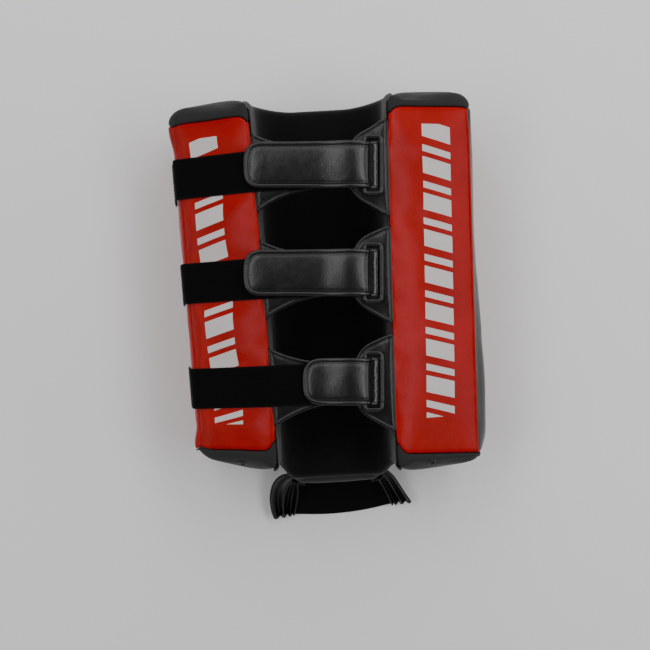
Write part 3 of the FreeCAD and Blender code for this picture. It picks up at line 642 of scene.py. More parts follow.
ROUND_INNER = 5.0       # roll of the rear panel into the channel
ROUND_OUTER = 14.0      # roll of the rear panel into the side
ROUND_END = 17.0        # roll into the end gussets
ROUND_REAR = 12.0       # depth of those rolls below the rear face
ROUND_LEAST = 8.0       # all rolls shrink to this towards the channel
RIM = 10.0              # the rear panel reaches this far down into the channel
STRAP_PRESS = 8.0       # how far a tight strap pushes the outer corner in
SLACK = 7.8             # how far the strapped wing's outer corner leans in between its straps
END_BELLY = 11.0        # the soft upper ends stand this far proud at mid height
LOWER_BELLY = 0.5       # share of that at the lower ends
SIDE_BULGE = 8.0        # the free wing's side sags out this far near its lower end
RIM_BULGE = 1.6         # the rear panels lean this far over the channel
SEAM_CURL = (11.0, -7.0)        # the end seams curl this far at the channel, lower and upper
SWELL = {"wing": 6.0, "front": 5.0, "tongue": 3.0}      # most that a cover swells

# How far the soft ends stray up the leg, each at the channel and at the outer side:
# lower end, lower seam, upper seam, upper end.
STRAY = {
    "left": ((4, 22), (9.6, 12), (0, -1), (0.5, -3)),
    "right": ((-3.5, -1), (-2, -9.6), (1.5, 1.5), (-1.5, -1.5)),
}
# Radius of the outer corners at the lower and the upper end.
END_ROUNDS = {"left": (32.0, 29.0), "right": (17.0, 24.0)}
# Finger dents in a rear panel: place from the lower end, place from the channel, depth.
PRESSED = {"left": (), "right": ((375, 22, 2.2), (300, 30, 2.0), (160, 26, 1.2))}
DENT = 15.0             # width of a dent
BASE_TUCK = 1.5         # the wings' covers reach this far into the front block
GLUED = 24.0            # a wing's inner wall is glued down this far from its ends
GROOVE = 1.4            # depth of a seam
NEAR_SEAM = 2.2         # a seam's groove reaches this far each side
STRAP_HALF = 25.0       # half width of a strap
PIPING = 1.5            # radius of the corner piping
PIPING_LIFT = 1.1       # its middle stands this far off the seam


def station_middles():
    """Middle of each strap station, up the leg."""
    middles = {}
    for station in STATIONS:
        low, high = box_mm(f"elastic_strap_{station}")
        middles[station] = (low[1] + high[1]) / 2
    return middles


MIDDLES = station_middles()


def round_off(local, size, radii_low, radii_high):
    """Round a box's edges; a radius of 0 leaves the edges at that face square."""
    inner = np.minimum(np.maximum(local, radii_low), size - radii_high)
    away = local - inner
    radii = np.where(away < 0, radii_low, radii_high)
    share = away / np.maximum(radii, 1e-6)
    largest = np.abs(share).max(1, keepdims=True)
    length = np.linalg.norm(share, axis=1, keepdims=True)
    return inner + away * np.where(length > 1e-9, largest / np.maximum(length, 1e-9), 1)


def stray(name, along, share, length):
    """How far a wing's cover strays up the leg near its ends."""
    low_end, low_seam, high_seam, high_end = [
        inner + (outer - inner) * share for inner, outer in STRAY[name]]
    low = low_seam + (low_end - low_seam) * smooth(SEAM, 0, along)
    high = high_seam + (high_end - high_seam) * smooth(length - SEAM, length, along)
    return low * smooth(80, SEAM, along) + high * smooth(length - 80, length - SEAM, along)


def end_belly(across, upward):
    """How far a soft end stands proud, by place across the leg and height."""
    height = np.sin(math.pi * np.clip(upward / REAR, 0, 1)) ** 1.2
    return END_BELLY * height * (0.4 + 0.6 * smooth(30, 75, np.abs(across)))


def wing_grid(name, side):
    """Grid over the box of one wing's cover: places out from the channel, along the leg and up."""
    width, length, height = OUTER - WING_ROOT, HIGH - LOW, REAR - SLOPE * (WING_ROOT - INNER) - BLOCK
    lines = (4, 9, SEAM - NEAR_SEAM, SEAM, SEAM + NEAR_SEAM)
    local, faces = lattice(
        ticks(width, 6.5, (2, ROUND_INNER, width - NEAR_SEAM, width - 5)),
        ticks(length, 6.5, (*lines, *[length - line for line in lines])),
        ticks(height, 6.5, (NEAR_SEAM, height - RIM - NEAR_SEAM, height - RIM, height - 5,
                            height - NEAR_SEAM)))
    out, along, up = local.T
    grid = SimpleNamespace(name=name, side=side, width=width, length=length, height=height, local=local,
                           out=out, along=along, up=up, share=out / width, lower=along < length / 2,
                           end_gap=np.minimum(along, length - along), on_rear=up > height - TOUCH)
    return grid, faces


def wing_base(grid):
    """A wing's cover before it swells: rolled edges, the pad's taper and the slope of its rear face."""
    end_round = np.where(grid.lower, *END_ROUNDS[grid.name])
    side_round = ROUND_OUTER + (end_round - ROUND_END) * smooth(60, 20, grid.end_gap)
    rolls = ROUND_LEAST + (end_round - ROUND_LEAST) * smooth(0, 50, grid.out)
    rear_round = ROUND_LEAST + (ROUND_REAR - ROUND_LEAST) * smooth(0, 30, grid.out)
    inner_round = ROUND_INNER + 6 * smooth(40, 8, grid.end_gap)
    soft = round_off(grid.local, np.array([grid.width, grid.length, grid.height]),
                     np.stack([inner_round, rolls, 0 * rolls], 1),
                     np.stack([side_round, rolls, rear_round], 1))
    up = LOW + soft[:, 1]
    fall = SLOPE * soft[:, 0] * soft[:, 2] / grid.height
    across = WING_ROOT + soft[:, 0] + TAPER * up
    tuck = BASE_TUCK * (grid.up < TOUCH)
    return np.stack([grid.side * across, up, BLOCK + soft[:, 2] - fall - tuck], 1)


def wing_seams(grid):
    """Which grid points are on the corner seam, on any seam, and sewn or glued down."""
    on_side = grid.out > grid.width - TOUCH
    on_inner = grid.out < TOUCH
    on_base = grid.up < TOUCH
    between_ends = grid.end_gap > SEAM - TOUCH
    end_seam = (np.abs(grid.end_gap - SEAM) < TOUCH) & (grid.on_rear | on_side | on_inner)
    corner_seam = grid.on_rear & on_side & between_ends
    rim_seam = on_inner & (np.abs(grid.up - (grid.height - RIM)) < TOUCH) & between_ends
    base_seam = on_base & (on_side | (grid.end_gap < TOUCH))
    sewn = end_seam | corner_seam | rim_seam
    return corner_seam, sewn | base_seam, sewn | on_base | on_inner & (grid.end_gap > GLUED)


def strap_tension(grid, base):
    """How freely a wing's cover swells, and how hard the straps press on it, from 0 to 1."""
    keep = np.ones(len(base))
    press = np.zeros(len(base))
    if grid.name == "left":
        for middle in MIDDLES.values():
            away = np.abs(base[:, 1] - middle)
            keep *= smooth(STRAP_HALF, STRAP_HALF + 24, away)
            press = np.maximum(press, 1 - smooth(STRAP_HALF - 2, STRAP_HALF + 15, away))
        keep *= 1 - 0.8 * smooth(0.7, 1, grid.share)
    return keep, press


def wing_drift(grid, base, press):
    """How a wing's cover leans, sags and strays from its box."""
    drift = np.zeros_like(base)
    if grid.name == "left":
        slack = SLACK * smooth(4, 60, grid.end_gap)
        tight = slack + (STRAP_PRESS - slack) * press
        drift[:, 0] -= grid.side * tight * smooth(10, 80, grid.up) * smooth(0.75, 1.0, grid.share)
    else:
        bulge = smooth(110, -120, base[:, 1]) * smooth(5, 45, grid.up)
        bulge *= smooth(grid.height, grid.height - 40, grid.up) * smooth(4, 40, grid.end_gap)
        drift[:, 0] = grid.side * SIDE_BULGE * bulge * grid.share ** 3
    rim = smooth(18, 2, grid.out) * smooth(grid.height - 30, grid.height - 8, grid.up)
    drift[:, 0] -= grid.side * RIM_BULGE * rim * smooth(20, 60, grid.end_gap) * (1 - 0.8 * press)
    drift[:, 1] = stray(grid.name, grid.along, grid.share, grid.length)
    belly = end_belly(base[:, 0], base[:, 2]) * smooth(34, 0, grid.end_gap)
    belly *= 1 - 0.25 * smooth(10, 50, grid.out)
    drift[:, 1] += belly * np.where(grid.lower, -LOWER_BELLY, 1.0)
    curl = smooth(15, 0, grid.out) ** 2 * smooth(2, SEAM, grid.end_gap) * smooth(60, SEAM, grid.end_gap)
    drift[:, 1] += np.where(grid.lower, *SEAM_CURL) * curl
    return drift


def wing_relief(grid, base, press, seams, held):
    """Dents, puckers, ripples and seam grooves of a wing's cover, along its normals."""
    dents = 0.9 * waviness(base, 46.0, grid.side) + 0.35 * waviness(base, 15.0, grid.side + 4)
    puckers = 0.5 * np.sin(grid.out / 2.6) * smooth(16, 2, np.abs(grid.end_gap - SEAM)) * grid.on_rear
    puckers += 0.4 * np.sin(grid.along / 3.1) * smooth(16, 2, grid.width - grid.out) * grid.on_rear
    ripples = waviness(base * np.array([0.3, 1, 0.3]), 17.0, grid.side + 7)
    puckers += 1.1 * ripples * smooth(22, 4, grid.out) * (grid.up > grid.height - RIM + 1)
    depth = (dents * (1 - 0.7 * press) + puckers) * (~held & (grid.up > 1))
    for along, out, deep in PRESSED[grid.name]:
        away = np.hypot(grid.along - along, grid.out - out)
        depth -= deep * np.exp(-(away / DENT) ** 2) * grid.on_rear
    return depth - GROOVE * seams


def cut_wing(grid, faces, points):
    """Part a wing's cover at its seams into rear panel, side panel and two gussets."""
    flat = np.stack([grid.along, grid.out, np.minimum(grid.end_gap, grid.width - grid.out)], 1)
    wall = np.stack([grid.along, grid.up, grid.end_gap], 1)
    out, along, up = grid.local[faces].mean(1).T
    between_ends = (along > SEAM) & (along < grid.length - SEAM)
    inner = out < TOUCH
    rear = between_ends & ((up > grid.height - TOUCH) | (inner & (up > grid.height - RIM)))
    side = between_ends & (out > grid.width - TOUCH)
    gusset = ~rear & ~side & (up > TOUCH) & ~(between_ends & inner)
    name = grid.name
    cover(f"{name}_rear_cover", points, faces[rear], flat, RED_PRINTED, 0.8,
          f"{name}_rear_panel", f"{name}_wing_foam")
    # the right side panel takes the darker leather, whose colour holds painted shade
    cover(f"{name}_side_cover", points, faces[side], wall, RED if name == "left" else SHADED_DULL_BLACK, 0.8,
          f"{name}_side_panel")
    for end, chosen in (("top", along > grid.length / 2), ("bottom", along < grid.length / 2)):
        cover(f"{name}_{end}_gusset_cover", points, faces[gusset & chosen], wall, NEOPRENE, 0.7,
              f"{name}_{end}_gusset")


def make_wing(name, side):
    """One wing's covers, swollen together and then parted, and the piping of its corner seam."""
    grid, faces = wing_grid(name, side)
    base = wing_base(grid)
    corner_seam, seams, held = wing_seams(grid)
    faces, swollen, normals = swell(base, faces, held, SWELL["wing"])
    keep, press = strap_tension(grid, base)
    depth = wing_relief(grid, base, press, seams, held)
    points = base + (swollen - base) * keep[:, None] + wing_drift(grid, base, press) \
        + normals * depth[:, None]
    cut_wing(grid, faces, points)
    order = np.argsort(grid.along[corner_seam])
    seam = points[corner_seam][order] + normals[corner_seam][order] * PIPING_LIFT
    piping = make_piece(f"{name}_piping", *tube(resample(seam, 5.0), PIPING, 10), RED)
    place(subdivide(piping), "root", f"{name}_corner_piping")
    return points, normals


# ---------------------------------------------------------------- front block

FRONT_ROUND = 45.0      # radius between striking face and sides
RIM_SEAM = 9.0          # end gussets reach this far round the front block's ends
FACE_SEAM = 118.0       # half width of the middle panel of the striking face
LEDGE = 40.0            # the covers turn this far in over the block, under the wings
LEDGE_CORNER = 14.0     # at a corner the end gusset's ledge reaches this far past the side's
FACE_CLEAR = 0.05       # the striking face stays this far above the ground
EDGE_LINES = (3, 7, 11)         # grid lines near the block's edges


def front_base(local, width, length):
    """The front block before it swells, round between face and sides and at its ends; half widths."""
    flat_x, up, high = local.T
    core = np.stack([np.clip(flat_x, FRONT_ROUND, width - FRONT_ROUND),
                     np.clip(high, FRONT_ROUND, BLOCK)], 1)
    away = local[:, [0, 2]] - core
    largest = np.abs(away).max(1, keepdims=True)
    away = away * largest / np.maximum(np.linalg.norm(away, axis=1, keepdims=True), 1e-9)
    edge = np.minimum(np.minimum(flat_x, width - flat_x), high)
    end_gap = np.minimum(up, length - up)
    lean_in = np.clip((ROUND_OUTER - edge) / ROUND_OUTER, 0, 1)
    lean_up = np.clip((ROUND_END - end_gap) / ROUND_END, 0, 1)
    both = (lean_in > 0) & (lean_up > 0)
    longest = np.maximum(lean_in, lean_up) / np.maximum(np.hypot(lean_in, lean_up), 1e-9)
    scale = np.where(both, longest, 1)
    shift_in = ROUND_OUTER * lean_in * (1 - scale)
    shift_up = ROUND_END * lean_up * (1 - scale)
    section = core + away - unit(away) * shift_in[:, None]
    along = LOW + up + np.where(up < length / 2, shift_up, -shift_up)
    half = section[:, 0] - OUTER
    return np.stack([half * (1 + TAPER * along / OUTER), along, section[:, 1]], 1), half


def make_front():
    """The front block: striking face with rounded sides, and an end gusset at each end."""
    width, length = 2 * OUTER, HIGH - LOW
    seams = (OUTER - FACE_SEAM, OUTER + FACE_SEAM)
    seam_edges = [line + gap for line in seams for gap in (-NEAR_SEAM, 0, NEAR_SEAM)]
    rim_lines = (RIM_SEAM - NEAR_SEAM, RIM_SEAM, RIM_SEAM + NEAR_SEAM, ROUND_END)
    side_lines = (*EDGE_LINES, ROUND_OUTER, FRONT_ROUND)
    local, faces = lattice(
        ticks(width, 9.0, (*side_lines, *[width - line for line in side_lines], *seam_edges)),
        ticks(length, 9.0, (*rim_lines, *[length - line for line in rim_lines])),
        ticks(BLOCK, 7.0, (*side_lines, BLOCK - NEAR_SEAM)))
    base, half = front_base(local, width, length)
    flat_x, up, high = local.T
    end_gap = np.minimum(up, length - up)
    edge_gap = np.minimum(flat_x, width - flat_x)
    end_seam = (np.abs(end_gap - RIM_SEAM) < TOUCH) & (high < BLOCK - TOUCH)
    face_seam = (high < TOUCH) & (np.abs(edge_gap - seams[0]) < TOUCH)
    on_top = high > BLOCK - TOUCH
    held = end_seam | face_seam | on_top
    faces, points, normals = swell(base, faces, held, SWELL["front"])
    rim = on_top & ((end_gap < 1) | (edge_gap < 1))
    depth = 0.8 * waviness(base, 50.0, 9) * ~held - GROOVE * (end_seam | face_seam | rim)
    points = points + normals * depth[:, None]
    belly = end_belly(base[:, 0], high) * smooth(30, 0, end_gap)
    points[:, 1] += belly * np.where(up < length / 2, -LOWER_BELLY, 1.0)
    share = np.clip((np.abs(half) - WING_ROOT) / (OUTER - WING_ROOT), 0, 1)
    drift = np.where(half < 0, stray("left", up, share, length), stray("right", up, share, length))
    points[:, 1] += drift * smooth(45, WING_ROOT, np.abs(half)) * np.sqrt(high / BLOCK)
    points[:, 2] = np.where(high < 20, np.maximum(points[:, 2], FACE_CLEAR), points[:, 2])
    cut_front(local[faces].mean(1), width, length, faces, points, np.stack([up, flat_x, end_gap], 1))


def cut_front(middle, width, length, faces, points, flat):
    """Part the front block's cover at its seams; its top is open, except for a ledge all round."""
    end_gap = np.minimum(middle[:, 1], length - middle[:, 1])
    inset = np.minimum(middle[:, 0], width - middle[:, 0])
    on_top = middle[:, 2] > BLOCK - TOUCH
    end_ledge = on_top & (end_gap < LEDGE) & (end_gap < inset + LEDGE_CORNER)
    side_ledge = on_top & (inset < LEDGE) & ~end_ledge
    cover("front_cover_leather", points, faces[~on_top & (end_gap > RIM_SEAM) | side_ledge], flat,
          RED, 0.9, "front_cover", "front_foam")
    for end, chosen in (("top", middle[:, 1] > length / 2), ("bottom", middle[:, 1] < length / 2)):
        ends = (~on_top & (end_gap < RIM_SEAM) | end_ledge) & chosen
        cover(f"front_{end}_gusset_cover", points, faces[ends], flat, NEOPRENE, 0.8,
              f"front_{end}_gusset")


def make_tongue():
    """Rounded cover of the tongue at the lower end."""
    (left, low, bottom), (right, high, _) = box_mm("tongue_case")
    size = np.array([right - left, high + 6 - low, BLOCK + 6 - bottom])
    local, faces = lattice(ticks(size[0], 7.0), ticks(size[1], 6.0), ticks(size[2], 7.0))
    soft = round_off(local, size, np.array([18.0, 16.0, 14.0]), np.array([18.0, 0, 8.0]))
    base = soft + np.array([left, low, bottom])
    faces, points, normals = swell(base, faces, local[:, 1] > size[1] - 8, SWELL["tongue"])
    points = points + normals * (0.7 * waviness(base, 22.0, 5))[:, None]
    flat = np.stack([local[:, 0], local[:, 2], local[:, 1]], 1)
    kept = local[faces].mean(1)[:, 1] < size[1] - TOUCH
    cover("tongue_cover", points, faces[kept], flat, NEOPRENE, 0.8, "tongue_case")


# ---------------------------------------------------------------- channel lining

LINING_RIM = 6.5        # lining stops this far below the rear faces
FLOOR = 75.7            # height of the channel's floor
CORNER = 34.5           # radius of the lining's corners
ROLL_WALL = 7.0         # lining's turned edge on the walls
ROLL_FLOOR = 9.0        # and on the floor
LINING_TOP = 243.5      # upper end, before the ends' belly
LINING_DROP = 7.0       # how much lower that is at the rims
LINING_LOW = {"left": -205.0, "floor": -231.0, "right": -212.0}     # lower end
LINING_THICK = 1.4
LINING_SWELL = 1.6      # the padding lifts the middle of the lining this much
COLUMN = 5.5            # grid step across the lining
ROWS = 72               # grid rows along it
ROLL_TURNS = (100, 85, 70, 50, 32, 15)      # grid rows on a turned edge, in degrees


def lining_foot(across):
    """Lower end of the lining: furthest down on the floor, where the tongue is."""
    wall = np.where(across < 0, LINING_LOW["left"], LINING_LOW["right"])
    return wall + (LINING_LOW["floor"] - wall) * smooth(77, 56, np.abs(across))


def make_lining():
    """Padded lining of the channel: a U whose ends turn over, with a tongue at its lower end."""
    rim = REAR - LINING_RIM
    profile = rounded_path([(-INNER, rim), (-INNER, FLOOR), (INNER, FLOOR), (INNER, rim)],
                           [CORNER, CORNER], 3.0)
    profile = resample(profile, COLUMN)
    columns = len(profile)
    tangent = unit(np.gradient(profile, axis=0))
    inward = np.stack([-tangent[:, 1], tangent[:, 0]], 1)
    roll = ROLL_WALL + (ROLL_FLOOR - ROLL_WALL) * smooth(0.3, 0.95, inward[:, 1])
    start = lining_foot(profile[:, 0]) + roll
    stop = LINING_TOP + end_belly(profile[:, 0], profile[:, 1]) - roll
    stop = stop - LINING_DROP * smooth(rim - 30, rim, profile[:, 1])
    turns = np.radians(ROLL_TURNS)
    rows = [(start - roll * math.sin(turn), roll * (1 - math.cos(turn))) for turn in turns]
    rows += [(start + (stop - start) * share, 0 * roll) for share in np.linspace(0, 1, ROWS)]
    rows += [(stop + roll * math.sin(turn), roll * (1 - math.cos(turn))) for turn in turns[::-1]]
    layers, flats = [], []
    for along, sunk in rows:
        across = (profile[:, 0] - inward[:, 0] * sunk) * (1 + TAPER * along / INNER)
        layers.append(np.stack([across, along, profile[:, 1] - inward[:, 1] * sunk], 1))
        flats.append(np.stack([along, np.arange(columns) * COLUMN, 0 * along], 1))
    base = np.concatenate(layers)
    normal = np.tile(np.stack([inward[:, 0], 0 * roll, inward[:, 1]], 1), (len(rows), 1))
    depth = lining_relief(base, len(rows), columns)
    piece = make_piece("channel_lining_pad", base + normal * depth[:, None],
                       grid_faces(len(rows), columns), LINING, np.concatenate(flats), closed=False)
    thicken(piece, LINING_THICK)
    place(subdivide(piece), "root", "channel_lining", "channel_sponge")


def lining_relief(base, rows, columns):
    """Swell and wrinkles of the lining, into the channel."""
    along = np.repeat(np.arange(rows), columns) / (rows - 1)
    across = np.tile(np.arange(columns), rows) / (columns - 1)
    free = smooth(0.04, 0.14, along) * smooth(0.96, 0.86, along)
    free = free * smooth(0.0, 0.06, across) * smooth(1, 0.94, across)
    fine = waviness(base, 12.0, 3)
    wrinkles = 1.5 * waviness(base * np.array([1, 0.35, 1]), 26.0, 2) + 0.6 * fine
    lips = smooth(0.12, 0.02, along) * smooth(30, 50, np.abs(base[:, 0]))
    return free * (LINING_SWELL + wrinkles) + (0.4 + 1.1 * lips) * waviness(base, 12.0, 8)


# ---------------------------------------------------------------- leather leaves

# Heights of a leaf's faces above its middle, each as (distance from the edge, height), and the
# grid lines near its edge. The upper face has a bound edge and a stitched groove.
RIM_LINES = (0, 0.5, 2.4, 4.1, 4.9, 5.7, 6.5, 7.5, 10.5)
BOUND = ((0, 0), (0.5, 1.1), (2.4, 1.7), (4.1, 1.3), (4.9, 0.35), (5.7, 0.8), (6.5, 0.5), (7.5, 0.95))
BACK = ((0, 0), (0.5, -0.9), (2.0, -1.2), (6.0, -1.1), (30.0, -1.1))
FLAP_STITCH = 6.3       # flap's stitching from its edge
STITCH_LIFT = 0.12      # the middle of the thread lies this far above the surface


def height_at(knots, edge):
    places, heights = zip(*knots)
    return np.interp(edge, places, heights)


def leaf(reach, half, rounds, top, bottom=BACK, step=6.0, lines=RIM_LINES):
    """A flat piece with edge detail: local points, faces, cloth coordinates.

    half gives the half width at a distance from the near end; rounds are the radii of the
    corners at the near and the far end; top and bottom give heights by distance from the edge."""
    rim = np.array(lines, float)
    inside = np.linspace(rim[-1], reach - rim[-1], max(2, int((reach - 2 * rim[-1]) / step) + 1))[1:-1]
    xs = np.concatenate([rim, inside, reach - rim[::-1]])
    halves = np.array([half(x) for x in xs])
    middle = np.linspace(-1, 1, max(3, int(2 * (halves.max() - rim[-1]) / step) + 1))[1:-1]
    y = np.array([np.concatenate([-(h - rim), middle * (h - rim[-1]), (h - rim)[::-1]]) for h in halves])
    gap_side = halves[:, None] - np.abs(y)
    x = np.repeat(xs[:, None], y.shape[1], 1)
    gap_near, gap_far = x.copy(), reach - x
    edge = np.minimum(gap_side, np.minimum(gap_near, gap_far))
    for gap_end, radius, sign in ((gap_near, rounds[0], 1), (gap_far, rounds[1], -1)):
        u = radius - gap_end
        v = radius - gap_side
        inside_corner = (u > 0) & (v > 0)
        scale = np.where(inside_corner, np.maximum(u, v) / np.maximum(np.hypot(u, v), 1e-9), 1)
        edge = np.where(inside_corner, radius - np.maximum(u, v), edge)
        x = np.where(inside_corner, x + sign * u * (1 - scale), x)
        y = np.where(inside_corner, y - np.sign(y) * v * (1 - scale), y)
    rows, columns = x.shape
    upper = np.stack([x, y, height_at(top, edge)], 2).reshape(-1, 3)
    lower = np.stack([x, y, height_at(bottom, edge)], 2).reshape(-1, 3)
    faces = np.concatenate([grid_faces(rows, columns), grid_faces(rows, columns, rows * columns, True)])
    flat = np.stack([x, y, edge], 2).reshape(-1, 3)
    return np.concatenate([upper, lower]), faces, np.concatenate([flat, flat])


def leaf_track(reach, half, rounds, inset, start=0.0, whole=False):
    """Line round a leaf at an inset from its edge, from the near end round the far end and back."""
    upper = [(x, half(x) - inset) for x in np.arange(start + inset, reach - rounds[1], 2.0)]
    corner = max(rounds[1] - inset, 0.1)
    turn = np.radians(np.arange(90, -1, -10))
    h = half(reach)
    centre_x = reach - inset - corner
    arc = [(centre_x + corner * math.cos(a), h - inset - corner + corner * math.sin(a)) for a in turn]
    points = np.array(upper + arc)
    track = np.vstack([points, points[::-1] * np.array([1, -1])])
    return np.vstack([track, track[:1]]) if whole else track


def stay(piece):
    return place(piece, "root")


def sew(name, track, carry, top, edge, finish=stay):
    """Stitch along a leaf's track, on its upper face."""
    track = resample(track, STITCH)
    lift = height_at(top, edge) + STITCH_LIFT
    local = np.column_stack([track, np.full(len(track), lift)])
    here = carry(local)
    above = carry(local + np.array([0, 0, 1.0]))
    finish(make_piece(name, *stitches(here, unit(above - here)), THREAD_BLACK))


# ---------------------------------------------------------------- straps


def ring_frame(station):
    """Origin at the ring's left bar, and unit vectors to the left and along the bar."""
    joint = JOINTS[f"tab_peel_{station}"]
    bar = np.array(joint["axis"], float)
    origin = np.array(joint["pos_m"]) / MM
    left = np.cross((0, 0, 1.0), bar)
    if left[0] > 0:
        left = -left
    return origin, unit(left), unit(bar)


def ring_carry(station):
    """Turn local (left of the bar, along the bar, above the bar) into frame coordinates."""
    origin, left, bar = ring_frame(station)

    def carry(local):
        return origin + np.outer(local[:, 0], left) + np.outer(local[:, 1], bar) \
            + np.outer(local[:, 2], (0, 0, 1.0))
    return carry


def along_path(path, base):
    """Carry a flat piece along a path (left, up) in the plane across the bar."""
    lengths = lengths_along(path)
    tangent = unit(np.gradient(path, axis=0))
    normal = np.stack([-tangent[:, 1], tangent[:, 0]], 1)
    if normal[-1][1] < 0:
        normal = -normal

    def carry(local):
        spots = np.stack([np.interp(local[:, 0], lengths, path[:, axis]) for axis in (0, 1)], 1)
        ups = unit(np.stack([np.interp(local[:, 0], lengths, normal[:, axis]) for axis in (0, 1)], 1))
        spots = spots + ups * local[:, 2:3]
        return base(np.column_stack([spots[:, 0], local[:, 1], spots[:, 1]]))
    return carry, lengths[-1]


TAB_HALF = 28.2         # half width of a pull tab
TAB_WRAP = 5.0          # middle of the tab's leather, round the ring's bar
TAB_BROW = 16.0         # the tab is highest this far from the bar
TAB_CREST = 1.7         # and rises this much more there
TAB_LEVEL = 1.35        # middle of the tab above the bar's axis, away from the ring
TAB_EDGE = 1.3          # the tab stops this far inside the far end of its binding's box
TAB_ROUNDS = (1.2, 20.0)        # radii of its corners, near and far
TAB_LINES = (0, 0.5, 2.6, 4.5, 5.3, 6.2, 7.0, 8.0, 11.0)
TAB_TOP = ((0, 0), (0.5, 1.3), (2.6, 2.05), (4.5, 1.6), (5.3, 0.5), (6.2, 1.0), (7.0, 0.75), (8.0, 1.35),
           (11, 1.9), (15, 2.35), (21, 2.7), (28, 2.85))
TAB_STITCH = 6.7        # tab's stitching from its edge
TAB_HINGE = 28.0        # its hook tape starts this far along the tab
TAB_UNDER = 1.55        # middle of the hook tape below the middle of the tab
TAB_BINDING = 5.3       # width of its binding


def tab_height(run):
    """Height of a pull tab above the bar's axis: a crest near the ring, then down onto the strap."""
    fall = TAB_LEVEL + (TAB_WRAP + TAB_CREST - TAB_LEVEL) * (1 - smooth(TAB_BROW, 56, run))
    return fall - TAB_CREST * np.clip(1 - run / TAB_BROW, 0, 1) ** 2


def tab_path(far):
    """Path of a pull tab: round the right of the bar, over it, and down onto the strap."""
    turn = np.radians(np.arange(-50, 91, 10))
    wrap = np.stack([-TAB_WRAP * np.cos(turn), TAB_WRAP * np.sin(turn)], 1)
    run = np.append(np.arange(3.0, far, 4.0), far)
    return np.vstack([wrap, np.stack([run, tab_height(run)], 1)])


def make_tab(station):
    """Padded pull tab that bends over the ring's bar, with bound edges, stitching and a hook patch."""
    base = ring_carry(station)
    origin, left, _ = ring_frame(station)
    low, _ = box_mm(f"tab_binding_{station}")
    far = (origin[0] - low[0]) / abs(left[0]) - TAB_EDGE
    carry, reach = along_path(tab_path(far), base)
    bodies = (f"ring_{station}", f"tab_{station}")
    ends = (origin + left * 4.0, origin + left * TAB_HINGE)

    def half(x):
        return TAB_HALF + 0.35 * math.sin(x / 23.0) - 0.5 * math.exp(-x / 9.0)

    local, faces, flat = leaf(reach, half, TAB_ROUNDS, TAB_TOP, lines=TAB_LINES)
    plan = local * np.array([1, 1, 0])
    puff = 0.55 * waviness(plan, 26.0, len(station)) + 0.3 * waviness(plan, 11.0, len(station) + 2)
    local[:, 2] += puff * smooth(7, 16, flat[:, 2])
    whole = make_piece(f"pull_tab_{station}_leather", carry(local), faces, BLACK, flat, merge=0.02)
    split = split_by_edge(whole, TAB_BINDING, f"tab_binding_{station}_strip")
    for piece, node_name in ((whole, f"pull_tab_{station}"), (split, f"tab_binding_{station}")):
        bend(subdivide(piece), bodies, ends, node_name)
    track = leaf_track(reach, half, TAB_ROUNDS, TAB_STITCH, start=2.0)
    sew(f"tab_stitching_{station}", track, carry, TAB_TOP, TAB_STITCH,
        lambda made: bend(made, bodies, ends))
    make_hook_patch(station, base, far)


def split_by_edge(piece, edge, name):
    """Move the faces nearer the edge than a distance into a piece of their own."""
    mesh = piece.data
    other = bpy.data.objects.new(name, mesh.copy())
    other.data.name = name
    bpy.context.scene.collection.objects.link(other)
    for keeper, wants_rim in ((piece, False), (other, True)):
        tool = bmesh.new()
        tool.from_mesh(keeper.data)
        layer = tool.verts.layers.float_vector["flat"]
        gone = []
        for face in tool.faces:
            near = sum(vertex[layer].z for vertex in face.verts) / len(face.verts) < edge
            if near != wants_rim:
                gone.append(face)
        bmesh.ops.delete(tool, geom=gone, context="FACES")
        tool.to_mesh(keeper.data)
        tool.free()
    return other


HOOK_TOP = ((0, 0), (0.5, 0.4), (6, 0.45))
HOOK_BACK = ((0, 0), (0.5, -0.4), (6, -0.42))
HOOK_HALF = 21.0        # half width of the hook tape
HOOK_END = 7.0          # it stops this far from the tab's end


def make_hook_patch(station, base, far):
    """Hook tape sewn under the tab."""
    local, faces, flat = leaf(far - TAB_HINGE - HOOK_END, lambda x: HOOK_HALF, (2.0, 9.5), HOOK_TOP,
                              HOOK_BACK, 7.0, (0, 0.5, 2.0, 5.0))
    local[:, 0] += TAB_HINGE
    local[:, 2] += tab_height(local[:, 0]) - TAB_UNDER
    add_leaf(f"hook_tape_{station}", base(local), faces, flat, HOOKS, f"tab_{station}",
             f"hook_patch_{station}")


# Places across a ribbon, as shares of its half width.
RIBBON = np.array([-1, -0.985, -0.95, -0.8, -0.6, -0.4, -0.2, 0, 0.2, 0.4, 0.6, 0.8, 0.95, 0.985, 1])


def ribbon(points, normals, half, thickness, across):
    """A strip of webbing along a path: points, faces and cloth coordinates."""
    rows, columns = len(points), len(RIBBON)
    gap = 1 - np.abs(RIBBON)
    rim = np.clip(gap / 0.015, 0, 1)
    swell_edge = 1 + 0.25 * np.exp(-((np.abs(RIBBON) - 0.95) / 0.03) ** 2)
    lengths = lengths_along(points)
    layers = []
    for sign in (1, -1):
        height = sign * thickness / 2 * rim * swell_edge
        grid = points[:, None] + across * (RIBBON * half)[None, :, None] \
            + normals[:, None] * height[None, :, None]
        layers.append(grid.reshape(-1, 3))
    flat = np.stack(np.broadcast_arrays(lengths[:, None], RIBBON * half, half * gap), 2).reshape(-1, 3)
    faces = [grid_faces(rows, columns), grid_faces(rows, columns, rows * columns, True)]
    ends = []
    for row in (0, rows - 1):
        for column in range(columns - 1):
            first = row * columns + column
            quad = [first, first + 1, first + 1 + rows * columns, first + rows * columns]
            ends.append(quad[::-1] if row == 0 else quad)
    return np.concatenate(layers), np.concatenate([*faces, np.array(ends)]), np.vstack([flat, flat])


